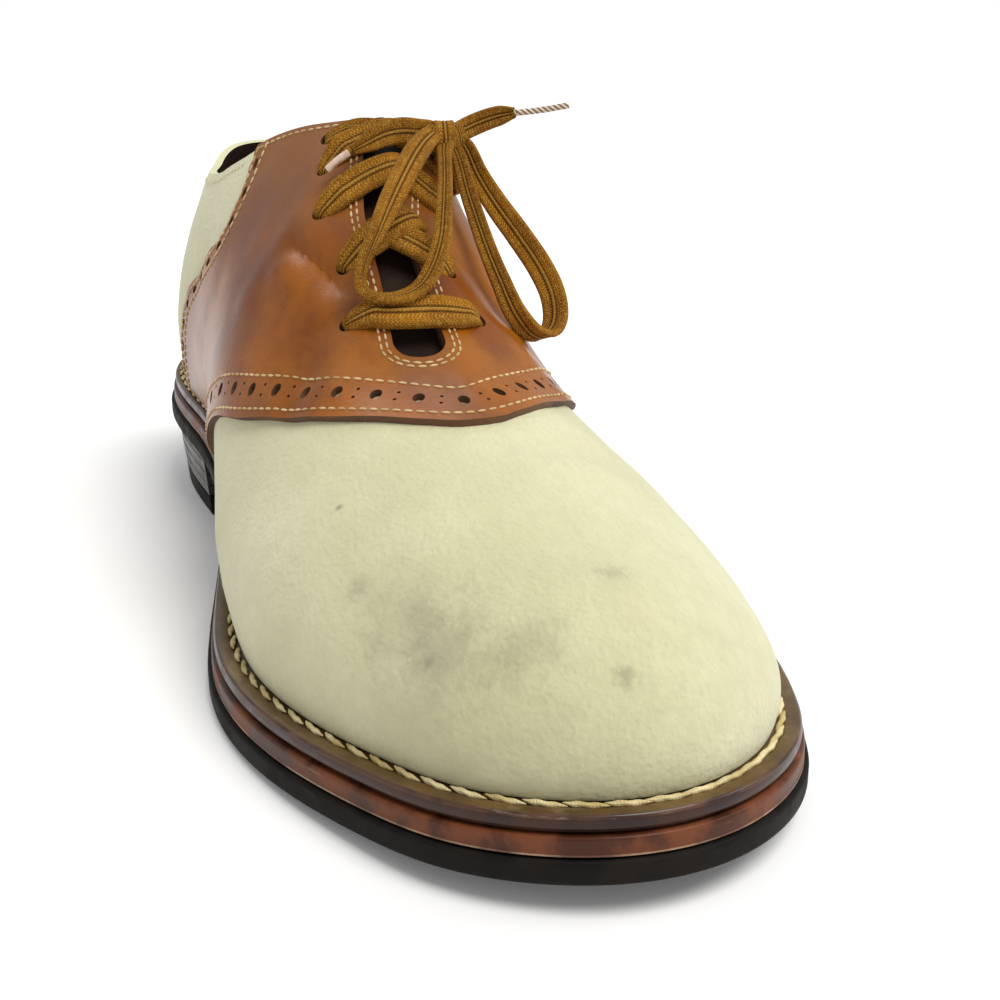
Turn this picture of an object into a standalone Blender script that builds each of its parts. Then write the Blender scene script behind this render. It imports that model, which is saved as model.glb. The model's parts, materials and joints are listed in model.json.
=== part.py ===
"""A left saddle shoe in Blender: stitched double sole, hollow upper, saddle, tongue and laces.

The toe points along -Y, the wearer's left side along +X, and the floor is at z = 0.
Each layer of the sole and the upper come from one last: a feather edge and a ridge line,
with section tables that hold shares of the named sizes.
"""

from math import acos, cos, pi, radians, sin

import bmesh
import bpy
import numpy as np
from mathutils import Vector
from mathutils.bvhtree import BVHTree

MM = 0.001

# Sizes of the last
LAST_LENGTH = 297 * MM
BALL_WIDTH = 103 * MM
INSTEP_RISE = 92 * MM
HEEL_HEIGHT = 20.9 * MM
TOE_SPRING = 5.5 * MM

# Layers of the sole, from the floor up
OUTSOLE = 4.8 * MM
MIDSOLE = 4.1 * MM
WELT = 3.5 * MM
INSOLE_STANDS = 2.2 * MM
TOP_LIFT = 6.0 * MM
MIDSOLE_SHOWS = 0.7 * MM
OUTSOLE_SHOWS = 1.7 * MM
HEEL_TAPER = 1.6 * MM
BREAST_CURVE = 3.0 * MM

# Leather, lacing and clearance
GAP = 0.3 * MM
SADDLE_GAP = 0.4 * MM
WALL = 2.0 * MM
SADDLE_LEATHER = 1.3 * MM
TONGUE_LEATHER = 1.8 * MM
EYELET = 4.4 * MM
LACE_WIDTH = 6.4 * MM
LACE_THICK = 1.5 * MM
CORD_WIDE = 3.6 * MM
AGLET_WIDE = 2.6 * MM
PIN_LONG = 12 * MM

SOLE = OUTSOLE + MIDSOLE + WELT
SADDLE_TOP = SADDLE_GAP + SADDLE_LEATHER
HEEL_SEAT_END = 0.26
SHANK_END = 0.60
SPRING_START = 0.68
TOE_RIDGE = 34 * MM
HEEL_RIDGE = 38 * MM
RIDGE_TURN = 2.5
BELLY_PEAK = 4 / 27
WELT_HOLDS = 2 * MM
TAPER_SIDE = 20 * MM
TAPER_BACK = 30 * MM

# Steps of the meshes
AROUND = 36
UP_SIDE = 11
ALONG_SOLE = 34
HEEL_COLUMNS = 16
SADDLE_COLUMNS = 13
TONGUE_ROWS = 5

# Feather edge: half widths as shares of BALL_WIDTH
FEATHER = {
    "share": (0, .02, .06, .12, .20, .30, .40, .50, .58, .66, .73, .80, .88, .94, .98, 1),
    "medial": (0, .165, .248, .299, .315, .311, .325, .388, .447, .495, .500, .466, .388, .301, .180, 0),
    "lateral": (0, .165, .248, .301, .320, .330, .361, .417, .471, .500, .503, .472, .393, .301, .179, 0),
}

# Ridge: rise as a share of INSTEP_RISE and shift as a share of BALL_WIDTH;
# full is the exponent of the section on each side, and belly is how far it swells past the feather
RIDGE = {
    "share": (0, .12, .22, .30, .36, .407, .45, .50, .54, .58, .62, .66, .70, .75, .82, .885, 1),
    "rise": (1.062, 1.062, 1.062, 1.044, 1.028, 1.006, .967, .905, .830, .749,
             .664, .599, .560, .512, .444, .376, .376),
    "shift": (.02, .02, .03, .05, .07, .073, .053, .020, -.005, -.020,
              -.029, -.029, -.020, -.010, 0, 0, 0),
    "full_medial": (1.35, 1.35, 1.70, 1.85, 1.95, 2.0, 2.05, 2.05, 2.05, 2.05,
                    2.1, 2.2, 2.25, 2.3, 2.3, 2.25, 2.2),
    "full_lateral": (1.35, 1.35, 1.65, 1.75, 1.80, 1.78, 1.73, 1.63, 1.56, 1.55,
                     1.61, 1.68, 1.69, 1.66, 1.72, 1.95, 2.15),
    "belly_medial": (.12, .12, .12, .13, .15, .16, .17, .16, .15, .13,
                     .09, .06, .045, .04, .04, .05, .05),
    "belly_lateral": (.12, .12, .08, .05, .04, .03, .03, .02, .02, .02,
                      .02, .02, .02, .02, .03, .05, .05),
}

# Reach of the welt past the feather, as a share of the widest reach
WELT_REACH = 5.2 * MM
REACH = {"share": (0, .12, .30, .45, .58, 1), "reach": (.80, .66, .60, .72, 1, 1)}

# The frame's origin is the middle of the sole's length, where the welt reaches further at the toe
AXIS_Y = WELT_REACH * (REACH["reach"][-1] - REACH["reach"][0]) / 2

# Topline: height over the heel seat as a share of INSTEP_RISE
TOPLINE = {
    "share": (-.10, .0135, .064, .104, .148, .199, .232, .263, .293, .323, .355, .388, .42, .47),
    "height": (.77, .768, .730, .692, .676, .681, .697, .725, .757, .797, .838, .868, .888, .93),
}

# Saddle borders: share of length at each share of the way up the side
SADDLE_FRONT = {
    "up": (0, .26, .40, .58, .75, .87, .95, 1),
    "share": (.405, .508, .578, .648, .700, .729, .741, .743),
}
SADDLE_REAR = {
    "up": (0, .25, .29, .34, .40, .47, .55, .62, .70, 1),
    "share": (.185, .250, .284, .308, .338, .340, .328, .318, .312, .30),
}

# Throat: centre line and half width, as shares of length and BALL_WIDTH
THROAT = {
    "share": (.35, .40, .44, .48, .53, .58, .632),
    "centre": (.115, .095, .058, .010, -.034, -.043, -.060),
    "half": (.068, .064, .058, .050, .045, .050, .057),
}
# Eyelets: shares of length, and how far out from the throat's centre line as shares of BALL_WIDTH
EYELETS = {
    "share_medial": (.599, .549, .497, .457, .424),
    "share_lateral": (.603, .562, .497, .457, .424),
    "out_medial": (.131, .104, .143, .143, .143),
    "out_lateral": (.147, .112, .143, .143, .143),
}
EYELET_PAIRS = len(EYELETS["share_medial"])

# How far the middle of a tied lace hangs towards the toe
LACE_SAG = 3.0 * MM

# A crossing lace is followed this share of the way, past the middle, where it goes under the facing
CROSSING_REACH = 0.60
TONGUE_ENDS = (.405, .668)

# The bow: routes over the shoe, in millimetres
KNOT = (16.4, 8.6, 111.3)
KNOT_HALF = (5.0, 4.0, 3.2)
FRONT_LOOP = [(12.4, 4.6, 112.5), (6, -4, 110), (-2.7, -15.5, 103.5), (-11, -24.5, 94.5), (-15.6, -28, 87.5),
              (-15.5, -29.8, 82.8), (-11.2, -32.6, 81.5), (-5.5, -32.7, 82.3), (-1, -31, 85.4),
              (3.4, -27, 92), (7.5, -18, 99.5), (11.5, -7.5, 105.5), (14.4, 1.0, 108.6)]
SIDE_LOOP = [(22.2, 7.6, 109.2), (25, 6.4, 102.5), (29, 4.6, 95.5), (33.5, 1.2, 88.3), (37.2, -3.8, 81),
             (38.4, -9.4, 74.9), (37, -14.5, 69.6), (33, -18.6, 67), (27.8, -21.2, 68.6), (23.4, -21.4, 74),
             (21.2, -18.5, 80.5), (19.8, -14, 87), (19, -9, 93.5), (18.6, -3.6, 100), (18.8, 2.2, 106.4)]
LONG_END = [(20.7, 11.6, 112.7), (24.6, 12.2, 115), (28.4, 11, 116.6), (31.8, 9.2, 117.2), (35, 7, 117)]
LONG_AGLET = [(35.9, 6.4, 117), (41.9, 4.5, 117.7), (47.5, 2.5, 118.7)]
SHORT_END = [(11, 9.2, 113), (6, 8.5, 113.4), (1, 6.8, 112.8), (-3.5, 5.2, 111.2), (-7.2, 4.8, 109.6)]
SHORT_AGLET = [(-8, 4.8, 109.2), (-10.8, 5.4, 107.4), (-13.2, 6, 105.2)]


def curve_through(xs, ys):
    """A smooth curve through table points that never swings past them."""
    x = np.array(xs, float)
    y = np.array(ys, float)
    step = np.diff(x)
    slope = np.diff(y) / step
    tangent = np.zeros(len(x))
    for i in range(1, len(x) - 1):
        if slope[i - 1] * slope[i] > 0:
            near = 2 * step[i] + step[i - 1]
            far = step[i] + 2 * step[i - 1]
            tangent[i] = (near + far) / (near / slope[i - 1] + far / slope[i])
    tangent[0] = slope[0]
    tangent[-1] = slope[-1]

    def value(at):
        at = min(max(at, x[0]), x[-1])
        i = min(int(np.searchsorted(x, at, side="right")) - 1, len(x) - 2)
        u = (at - x[i]) / step[i]
        rise = y[i] * (1 + 2 * u) * (1 - u) ** 2 + y[i + 1] * u * u * (3 - 2 * u)
        return rise + step[i] * u * (1 - u) * (tangent[i] * (1 - u) - tangent[i + 1] * u)

    return value


def round_curve(xs, ys):
    """A natural cubic through table points, for outlines with a round end."""
    x = np.array(xs, float)
    y = np.array(ys, float)
    count = len(x)
    step = np.diff(x)
    matrix = np.eye(count)
    right = np.zeros(count)
    for i in range(1, count - 1):
        matrix[i, i - 1:i + 2] = step[i - 1], 2 * (step[i - 1] + step[i]), step[i]
        right[i] = 3 * ((y[i + 1] - y[i]) / step[i] - (y[i] - y[i - 1]) / step[i - 1])
    bend = np.linalg.solve(matrix, right)

    def value(at):
        at = min(max(at, x[0]), x[-1])
        i = min(int(np.searchsorted(x, at, side="right")) - 1, count - 2)
        u = at - x[i]
        lean = (y[i + 1] - y[i]) / step[i] - step[i] * (2 * bend[i] + bend[i + 1]) / 3
        return y[i] + lean * u + bend[i] * u * u + (bend[i + 1] - bend[i]) / (3 * step[i]) * u ** 3

    return value


def turn_of(share):
    """The angle round the outline of a share of the length: 0 at the heel, pi at the toe."""
    return acos(max(-1.0, min(1.0, 1 - 2 * share)))


def share_of(turn):
    return (1 - cos(turn)) / 2


half_medial = round_curve([turn_of(s) for s in FEATHER["share"]], FEATHER["medial"])
half_lateral = round_curve([turn_of(s) for s in FEATHER["share"]], FEATHER["lateral"])
ridge_rise = round_curve(RIDGE["share"], RIDGE["rise"])
ridge_shift = curve_through(RIDGE["share"], RIDGE["shift"])
full_medial = curve_through(RIDGE["share"], RIDGE["full_medial"])
full_lateral = curve_through(RIDGE["share"], RIDGE["full_lateral"])
belly_medial = curve_through(RIDGE["share"], RIDGE["belly_medial"])
belly_lateral = curve_through(RIDGE["share"], RIDGE["belly_lateral"])
reach_at = curve_through(REACH["share"], REACH["reach"])
topline_at = curve_through(TOPLINE["share"], TOPLINE["height"])
saddle_front = curve_through(SADDLE_FRONT["up"], SADDLE_FRONT["share"])
saddle_rear = curve_through(SADDLE_REAR["up"], SADDLE_REAR["share"])
throat_centre = curve_through(THROAT["share"], THROAT["centre"])
throat_half = curve_through(THROAT["share"], THROAT["half"])


def ease(t):
    t = min(max(t, 0.0), 1.0)
    return t * t * (3 - 2 * t)


def tread(share):
    """Height of the outsole's underside: the heel seat, the shank, the flat tread and the toe spring."""
    down = ease((share - HEEL_SEAT_END) / (SHANK_END - HEEL_SEAT_END))
    spring = max(0.0, (share - SPRING_START) / (1 - SPRING_START))
    return HEEL_HEIGHT * (1 - down) + TOE_SPRING * spring ** 1.8


def y_of(share):
    """The place on the Y axis of a share of the last's length."""
    return (0.5 - share) * LAST_LENGTH + AXIS_Y


def share_at(y):
    return 0.5 - (y - AXIS_Y) / LAST_LENGTH


def plan_point(turn, side, reach=0.0):
    """A point of the feather edge, moved out by reach along its own normal."""
    half = half_medial if side < 0 else half_lateral

    def at(angle):
        angle = min(max(angle, 0.0), pi)
        return side * half(angle) * BALL_WIDTH, y_of(share_of(angle))

    x, y = at(turn)
    if not reach:
        return x, y
    if sin(turn) < 1e-6:
        return 0.0, y + (reach if turn < 1 else -reach)
    ahead = at(turn + 0.01)
    behind = at(turn - 0.01)
    along = Vector((ahead[0] - behind[0], ahead[1] - behind[1])).normalized()
    return x - side * along.y * reach, y + side * along.x * reach


# The frame's origin is also midway between the welt's widest reaches to each side
MEDIAL_REACH, LATERAL_REACH = (
    max(abs(plan_point(turn, side, WELT_REACH)[0]) for turn in np.linspace(1, 2.6, 60)) for side in (-1, 1)
)
AXIS_X = (MEDIAL_REACH - LATERAL_REACH) / 2


def soft_end(distance, reach):
    """How far the ridge runs back from an end of the last, against the feather's own run."""
    return (distance ** RIDGE_TURN + reach ** RIDGE_TURN) ** (1 / RIDGE_TURN) - distance


def skin_point(turn, up, side):
    """A point of the last: up is 0 at the feather edge and 1 on the ridge."""
    x0, y0 = plan_point(turn, side)
    z0 = tread(share_at(y0)) + SOLE + GAP
    y1 = y0 + soft_end(y0 - y_of(1), TOE_RIDGE) - soft_end(y_of(0) - y0, HEEL_RIDGE)
    share = share_at(y1)
    x1 = ridge_shift(share) * BALL_WIDTH
    z1 = tread(share) + SOLE + GAP + ridge_rise(share) * INSTEP_RISE
    apart = ease(sin(turn) / 0.5) * side
    full = (full_medial(share) + full_lateral(share)) / 2
    full += apart * (full_lateral(share) - full_medial(share)) / 2
    belly = (belly_medial(share) + belly_lateral(share)) / 2
    belly += apart * (belly_lateral(share) - belly_medial(share)) / 2
    angle = up * pi / 2
    rise = sin(angle) ** (2 / full)
    out = max(cos(angle), 0.0) ** (2 / full)
    out += belly * rise * (1 - rise) ** 2 / BELLY_PEAK
    return Vector((x1 + (x0 - x1) * out + AXIS_X, y1 + (y0 - y1) * out, z0 + (z1 - z0) * rise))


def leather(name, colour, roughness, coat=0.0):
    """A plain Principled material in the piece's own colour."""
    material = bpy.data.materials.new(name)
    material.use_nodes = True
    shader = material.node_tree.nodes["Principled BSDF"]
    shader.inputs["Base Color"].default_value = (*colour, 1)
    shader.inputs["Roughness"].default_value = roughness
    shader.inputs["Coat Weight"].default_value = coat
    return material


def collection(name):
    made = bpy.data.collections.new(name)
    bpy.context.scene.collection.children.link(made)
    return made


def finish(bm, name, material, home, smooth=True):
    """Writes a bmesh to a named object of the given collection."""
    bmesh.ops.remove_doubles(bm, verts=bm.verts, dist=1e-6)
    bmesh.ops.dissolve_degenerate(bm, edges=bm.edges, dist=1e-6)
    bmesh.ops.recalc_face_normals(bm, faces=bm.faces)
    mesh = bpy.data.meshes.new(name)
    bm.to_mesh(mesh)
    bm.free()
    if smooth:
        mesh.shade_smooth()
        mesh.set_sharp_from_angle(angle=radians(40))
    obj = bpy.data.objects.new(name, mesh)
    if material:
        mesh.materials.append(material)
    home.objects.link(obj)
    return obj


def mapped_grid(columns, rows, place):
    """A grid whose points are placed by a function of their two shares."""
    bm = bmesh.new()
    bmesh.ops.create_grid(bm, x_segments=columns, y_segments=rows, size=0.5)
    for vertex in bm.verts:
        vertex.co = place(vertex.co.x + 0.5, vertex.co.y + 0.5)
    return bm


def slab(name, material, home, start, end, reach, low, high, taper=0.0, breast=0.0, columns=ALONG_SOLE):
    """A layer of the sole between two shares of the length, from one height function to another."""
    first = turn_of(start)
    last = turn_of(end)

    def place(u, v):
        turn = first + (last - first) * u
        left = plan_point(turn, -1, reach(turn))
        right = plan_point(turn, 1, reach(turn))
        x = left[0] + (right[0] - left[0]) * v + AXIS_X
        y = left[1] + (right[1] - left[1]) * v
        hollow = breast * (1 - (2 * v - 1) ** 2) * u ** 6
        return Vector((x, y + hollow, 0))

    bm = mapped_grid(columns, 4, place)
    bmesh.ops.remove_doubles(bm, verts=bm.verts, dist=1e-6)
    bottom = list(bm.verts)
    grown = bmesh.ops.extrude_face_region(bm, geom=list(bm.faces))
    top = [g for g in grown["geom"] if isinstance(g, bmesh.types.BMVert)]
    middle = sum(v.co.y for v in bottom) / len(bottom)
    for vertex in top:
        vertex.co.z = high(share_at(vertex.co.y))
    for vertex in bottom:
        share = share_at(vertex.co.y)
        vertex.co.z = low(share)
        if taper:
            aside = vertex.co.x - AXIS_X
            vertex.co.x -= taper * max(-1.0, min(1.0, aside / TAPER_SIDE))
            vertex.co.y -= taper * ease((vertex.co.y - middle) / TAPER_BACK)
    return finish(bm, name, material, home)


def ring(name, material, home, outer, inner, low, high):
    """The welt: a strip all round the feather edge."""

    def place(u, v):
        turn = 2 * pi * u
        side = 1 if turn <= pi else -1
        turn = turn if turn <= pi else 2 * pi - turn
        x, y = plan_point(turn, side, inner + (outer(turn) - inner) * v)
        return Vector((x + AXIS_X, y, 0))

    bm = mapped_grid(2 * ALONG_SOLE + 8, 1, place)
    bmesh.ops.remove_doubles(bm, verts=bm.verts, dist=1e-6)
    bottom = list(bm.verts)
    grown = bmesh.ops.extrude_face_region(bm, geom=list(bm.faces))
    for vertex in [g for g in grown["geom"] if isinstance(g, bmesh.types.BMVert)]:
        vertex.co.z = high(share_at(vertex.co.y))
    for vertex in bottom:
        vertex.co.z = low(share_at(vertex.co.y))
    return finish(bm, name, material, home)


def thicken(bm, inner, outer):
    """Turns an open skin into a shell between two distances from it, with flat-lying rims."""
    bmesh.ops.remove_doubles(bm, verts=bm.verts, dist=1e-5)
    bmesh.ops.recalc_face_normals(bm, faces=bm.faces)
    bm.normal_update()
    middle = Vector((AXIS_X, 0, INSTEP_RISE / 2))
    facing = sum((f.calc_center_median() - middle).dot(f.normal) for f in bm.faces)
    if facing < 0:
        bmesh.ops.reverse_faces(bm, faces=bm.faces)
        bm.normal_update()
    pushes = {}
    for vertex in bm.verts:
        push = vertex.normal.copy()
        at_feather = vertex.co.z < tread(share_at(vertex.co.y)) + SOLE + GAP + 1e-5
        if at_feather:
            push.z = 0
            push.normalize()
        pushes[vertex] = push
    copy = bmesh.ops.duplicate(bm, geom=list(bm.verts) + list(bm.edges) + list(bm.faces))
    twins = copy["vert_map"]
    for vertex, push in pushes.items():
        twins[vertex].co += push * inner
        vertex.co += push * outer
    bmesh.ops.reverse_faces(bm, faces=[g for g in copy["geom"] if isinstance(g, bmesh.types.BMFace)])
    rims = [edge for edge in bm.edges if edge.is_boundary]
    bmesh.ops.bridge_loops(bm, edges=rims)


def dome_place(u, v):
    turn = 2 * pi * u
    side = 1 if turn <= pi else -1
    return skin_point(turn if turn <= pi else 2 * pi - turn, v, side)


def band_place(rear, front):
    """Places a strip that crosses the last from one feather edge to the other."""

    def place(u, v):
        side = -1 if v < 0.5 else 1
        up = 1 - abs(2 * v - 1)
        first = turn_of(rear(up))
        last = turn_of(front(up))
        return skin_point(first + (last - first) * u, up, side)

    return place


def outline_cutter(name, home, points, direction):
    """A closed outline, extruded along a direction."""
    bm = bmesh.new()
    face = bm.faces.new([bm.verts.new(p) for p in points])
    grown = bmesh.ops.extrude_face_region(bm, geom=[face])
    for vertex in [g for g in grown["geom"] if isinstance(g, bmesh.types.BMVert)]:
        vertex.co += Vector(direction)
    return hide(finish(bm, name, None, home, smooth=False))


def hide(cutter):
    cutter.hide_render = True
    cutter.display_type = "WIRE"
    return cutter


def cut(obj, cutter):
    modifier = obj.modifiers.new(cutter.name, "BOOLEAN")
    modifier.operation = "DIFFERENCE"
    modifier.solver = "EXACT"
    modifier.object = cutter


def collar_cutter(home):
    """Everything over the topline, as a side profile."""
    seat = HEEL_HEIGHT + SOLE
    far = BALL_WIDTH
    points = []
    for share in np.linspace(TOPLINE["share"][0], TOPLINE["share"][-1], 34):
        points.append((-far, y_of(share), seat + topline_at(share) * INSTEP_RISE))
    roof = seat + 1.5 * INSTEP_RISE
    points.append((-far, points[-1][1], roof))
    points.append((-far, points[0][1], roof))
    return outline_cutter("collar_cutter", home, points, (2 * far, 0, 0))


def throat_line(share, edge):
    """A point of the throat's edge in plan: edge is -1 medial, 0 at the centre, 1 lateral."""
    x = (throat_centre(share) + edge * throat_half(share)) * BALL_WIDTH
    return x + AXIS_X, y_of(share)


def throat_cutter(home):
    """The slot between the facings, with a round foot."""
    shares = np.linspace(THROAT["share"][0], THROAT["share"][-1], 12)
    base = SOLE + 0.3 * INSTEP_RISE
    points = [(*throat_line(s, -1), base) for s in shares]
    x, y = throat_line(shares[-1], 0)
    radius = throat_half(shares[-1]) * BALL_WIDTH
    for angle in np.linspace(pi, 2 * pi, 9)[1:-1]:
        points.append((x + radius * cos(angle), y + radius * sin(angle), base))
    points += [(*throat_line(s, 1), base) for s in reversed(shares)]
    return outline_cutter("throat_cutter", home, points, (0, 0, 2 * INSTEP_RISE))


def fine_dome():
    """The last's skin as a tree for finding the surface over a point of the plan."""
    bm = mapped_grid(2 * AROUND, 3 * UP_SIDE, dome_place)
    bm.normal_update()
    tree = BVHTree.FromBMesh(bm)
    bm.free()
    return tree


def over(tree, x, y, lift):
    """The point over (x, y) at a distance from the skin, and the skin's normal there."""
    sky = 3 * INSTEP_RISE
    point, normal, _, _ = tree.ray_cast(Vector((x, y, sky)), Vector((0, 0, -1)))
    if normal.z < 0:
        normal.negate()
    return point + normal * lift, normal


def eyelet_plan(index, side):
    hand = "medial" if side < 0 else "lateral"
    x, y = throat_line(EYELETS["share_" + hand][index], 0)
    return x + side * EYELETS["out_" + hand][index] * BALL_WIDTH, y


def eyelet_cutter(home, tree):
    """Ten pins through both facings."""
    bm = bmesh.new()
    for index in range(EYELET_PAIRS):
        for side in (-1, 1):
            point, normal = over(tree, *eyelet_plan(index, side), 0)
            pin = bmesh.ops.create_cone(
                bm, cap_ends=True, segments=12, radius1=EYELET / 2, radius2=EYELET / 2, depth=PIN_LONG
            )
            turn = Vector((0, 0, 1)).rotation_difference(normal).to_matrix()
            for vertex in pin["verts"]:
                vertex.co = turn @ vertex.co + point
    return hide(finish(bm, "eyelet_cutter", None, home, smooth=False))


def ribbon(tree, start, goal, reach, lifts):
    """A flat lace from one plan point a share of the way to another, laid over the skin."""
    lift = curve_through(*lifts)
    side = Vector((start[1] - goal[1], goal[0] - start[0], 0)).normalized()

    def place(u, v):
        x = start[0] + (goal[0] - start[0]) * reach * u
        y = start[1] + (goal[1] - start[1]) * reach * u - LACE_SAG * sin(pi * reach * u)
        point, normal = over(tree, x, y, lift(u))
        across = (side - normal * side.dot(normal)).normalized() * (v - 0.5) * LACE_WIDTH
        point, normal = over(tree, x + across.x, y + across.y, lift(u))
        return point

    bm = mapped_grid(10, 2, place)
    bm.normal_update()
    pushes = {v: v.normal.copy() if v.normal.z > 0 else -v.normal for v in bm.verts}
    copy = bmesh.ops.duplicate(bm, geom=list(bm.verts) + list(bm.edges) + list(bm.faces))
    for vertex, push in pushes.items():
        copy["vert_map"][vertex].co -= push * LACE_THICK / 2
        vertex.co += push * LACE_THICK / 2
    bmesh.ops.bridge_loops(bm, edges=[edge for edge in bm.edges if edge.is_boundary])
    return bm


def smooth_route(points, steps):
    """Points along a smooth curve through the route's own points, in metres."""
    places = [Vector(p) * MM for p in points]
    places = [2 * places[0] - places[1]] + places + [2 * places[-1] - places[-2]]
    made = []
    for i in range(1, len(places) - 2):
        a, b, c, d = places[i - 1:i + 3]
        for k in range(steps):
            t = k / steps
            made.append(0.5 * (2 * b + (c - a) * t + (2 * a - 5 * b + 4 * c - d) * t * t
                               + (3 * b - a - 3 * c + d) * t ** 3))
    made.append(places[-2])
    return made


def cord(name, material, home, points, width, steps=2):
    """A round stand-in for a lace end or loop."""
    data = bpy.data.curves.new(name, "CURVE")
    data.dimensions = "3D"
    data.bevel_depth = width / 2
    data.bevel_resolution = 2
    data.use_fill_caps = True
    route = smooth_route(points, steps)
    spline = data.splines.new("POLY")
    spline.points.add(len(route) - 1)
    for point, place in zip(spline.points, route):
        point.co = (*place, 1)
    data.materials.append(material)
    obj = bpy.data.objects.new(name, data)
    home.objects.link(obj)
    return obj


def build_sole(home):
    """Top lift, heel stack, outsole, midsole, welt and insole, each seated on the one below."""
    rubber = leather("dark rubber", (0.018, 0.015, 0.013), 0.7)
    stack = leather("dark heel leather", (0.030, 0.016, 0.010), 0.5)
    edge = leather("red brown sole leather", (0.130, 0.035, 0.016), 0.4)
    top = leather("olive brown welt", (0.110, 0.075, 0.030), 0.5)
    lining = leather("tan insole leather", (0.240, 0.130, 0.060), 0.6)

    def past(extra):
        return lambda turn: reach_at(share_of(turn)) * WELT_REACH + extra

    def layer(bottom):
        return lambda share: tread(share) + bottom

    seat = HEEL_SEAT_END + 0.005
    heel = (home, 0, seat)
    slab("heel_top_lift", rubber, *heel, past(-HEEL_TAPER), lambda s: 0.0, lambda s: TOP_LIFT - GAP,
         0.4 * HEEL_TAPER, BREAST_CURVE, HEEL_COLUMNS)
    slab("heel_stack", stack, *heel, past(0), lambda s: TOP_LIFT, lambda s: tread(s) - GAP,
         HEEL_TAPER, BREAST_CURVE, HEEL_COLUMNS)
    slab("outsole", rubber, home, 0, 1, past(OUTSOLE_SHOWS), layer(0), layer(OUTSOLE - GAP))
    slab("midsole", edge, home, 0, 1, past(MIDSOLE_SHOWS), layer(OUTSOLE), layer(OUTSOLE + MIDSOLE - GAP))
    inside = -WALL - WELT_HOLDS
    ring("welt", top, home, past(0), inside, layer(OUTSOLE + MIDSOLE), layer(SOLE))
    slab("insole", lining, home, 0, 1, lambda turn: inside - GAP, layer(OUTSOLE + MIDSOLE),
         layer(SOLE + INSOLE_STANDS))


def build_upper(home, cutters, tree):
    """The hollow upper, the saddle over it and the tongue under its throat."""
    collar = collar_cutter(cutters)
    throat = throat_cutter(cutters)
    eyelets = eyelet_cutter(cutters, tree)
    bm = mapped_grid(2 * AROUND, UP_SIDE, dome_place)
    thicken(bm, -WALL, 0)
    upper = finish(bm, "upper", leather("cream nubuck", (0.72, 0.66, 0.45), 0.8), home)
    bm = mapped_grid(SADDLE_COLUMNS, 2 * UP_SIDE, band_place(saddle_rear, saddle_front))
    thicken(bm, SADDLE_GAP, SADDLE_TOP)
    saddle = finish(bm, "saddle", leather("tan saddle leather", (0.30, 0.12, 0.035), 0.35, 0.3), home)
    for shell in (upper, saddle):
        for cutter in (collar, throat, eyelets):
            cut(shell, cutter)

    def tongue_place(u, v):
        side = -1 if v < 0.5 else 1
        up = 1 - abs(2 * v - 1) * TONGUE_ROWS / UP_SIDE
        first = turn_of(TONGUE_ENDS[0])
        last = turn_of(TONGUE_ENDS[1])
        return skin_point(first + (last - first) * u, up, side)

    bm = mapped_grid(14, 2 * TONGUE_ROWS, tongue_place)
    thicken(bm, -WALL - GAP - TONGUE_LEATHER, -WALL - GAP)
    finish(bm, "tongue", leather("brown tongue", (0.07, 0.03, 0.015), 0.7), home)


def build_lacing(home, tree, woven):
    """The straight bar at the foot of the throat, and the crossings over it."""
    flat = SADDLE_TOP + GAP + LACE_THICK / 2
    level = ((0, 1), (flat, flat))
    bm = ribbon(tree, eyelet_plan(0, -1), eyelet_plan(0, 1), 1, level)
    finish(bm, "lace_bar", woven, home)
    for index in range(1, EYELET_PAIRS - 1):
        halves = []
        for side, crown in ((-1, 0.0), (1, 0.7 * MM)):
            lifts = ((0, 0.7, 1), (flat, flat + crown, flat + crown))
            bm = ribbon(tree, eyelet_plan(index, side), eyelet_plan(index + 1, -side), CROSSING_REACH, lifts)
            halves.append(finish(bm, f"lace_crossing_{index}", woven, home))
        join = halves[0].modifiers.new("join", "BOOLEAN")
        join.operation = "UNION"
        join.solver = "EXACT"
        join.object = halves[1]
        bpy.context.view_layer.update()
        graph = bpy.context.evaluated_depsgraph_get()
        mesh = bpy.data.meshes.new_from_object(halves[0].evaluated_get(graph))
        halves[0].modifiers.clear()
        halves[0].data = mesh
        bpy.data.objects.remove(halves[1])


def build_bow(home, woven):
    """The knot, its two loops, and the two ends with their aglets."""
    tip = leather("aglet", (0.55, 0.42, 0.34), 0.3)
    bm = bmesh.new()
    bmesh.ops.create_icosphere(bm, subdivisions=2, radius=1)
    for vertex in bm.verts:
        vertex.co = (Vector(KNOT_HALF) * vertex.co + Vector(KNOT)) * MM
    finish(bm, "lace_knot", woven, home)
    cord("lace_front_loop", woven, home, FRONT_LOOP, CORD_WIDE)
    cord("lace_side_loop", woven, home, SIDE_LOOP, CORD_WIDE)
    cord("lace_long_end", woven, home, LONG_END, CORD_WIDE)
    cord("lace_short_end", woven, home, SHORT_END, CORD_WIDE)
    cord("aglet_long", tip, home, LONG_AGLET, AGLET_WIDE)
    cord("aglet_short", tip, home, SHORT_AGLET, AGLET_WIDE)


def main():
    for obj in list(bpy.data.objects):
        bpy.data.objects.remove(obj)
    home = collection("saddle shoe")
    cutters = collection("cutters")
    tree = fine_dome()
    build_sole(home)
    build_upper(home, cutters, tree)
    woven = leather("golden tan lace", (0.36, 0.17, 0.04), 0.8)
    build_lacing(home, tree, woven)
    build_bow(home, woven)


main()
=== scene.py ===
# %% [markdown]
# # A left saddle shoe
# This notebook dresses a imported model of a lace-up saddle shoe. The solids come first, as a fixed
# frame in metres: the toe points along -Y, the outer side along +X, and the floor is at z = 0.
# Each soft piece is then made again, finer, in the place that its solid holds.

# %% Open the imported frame
import json
from math import acos, cos, pi, radians, sin

import bmesh
import bpy
import numpy as np
from mathutils import Matrix, Vector, noise
from mathutils.bvhtree import BVHTree

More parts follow.
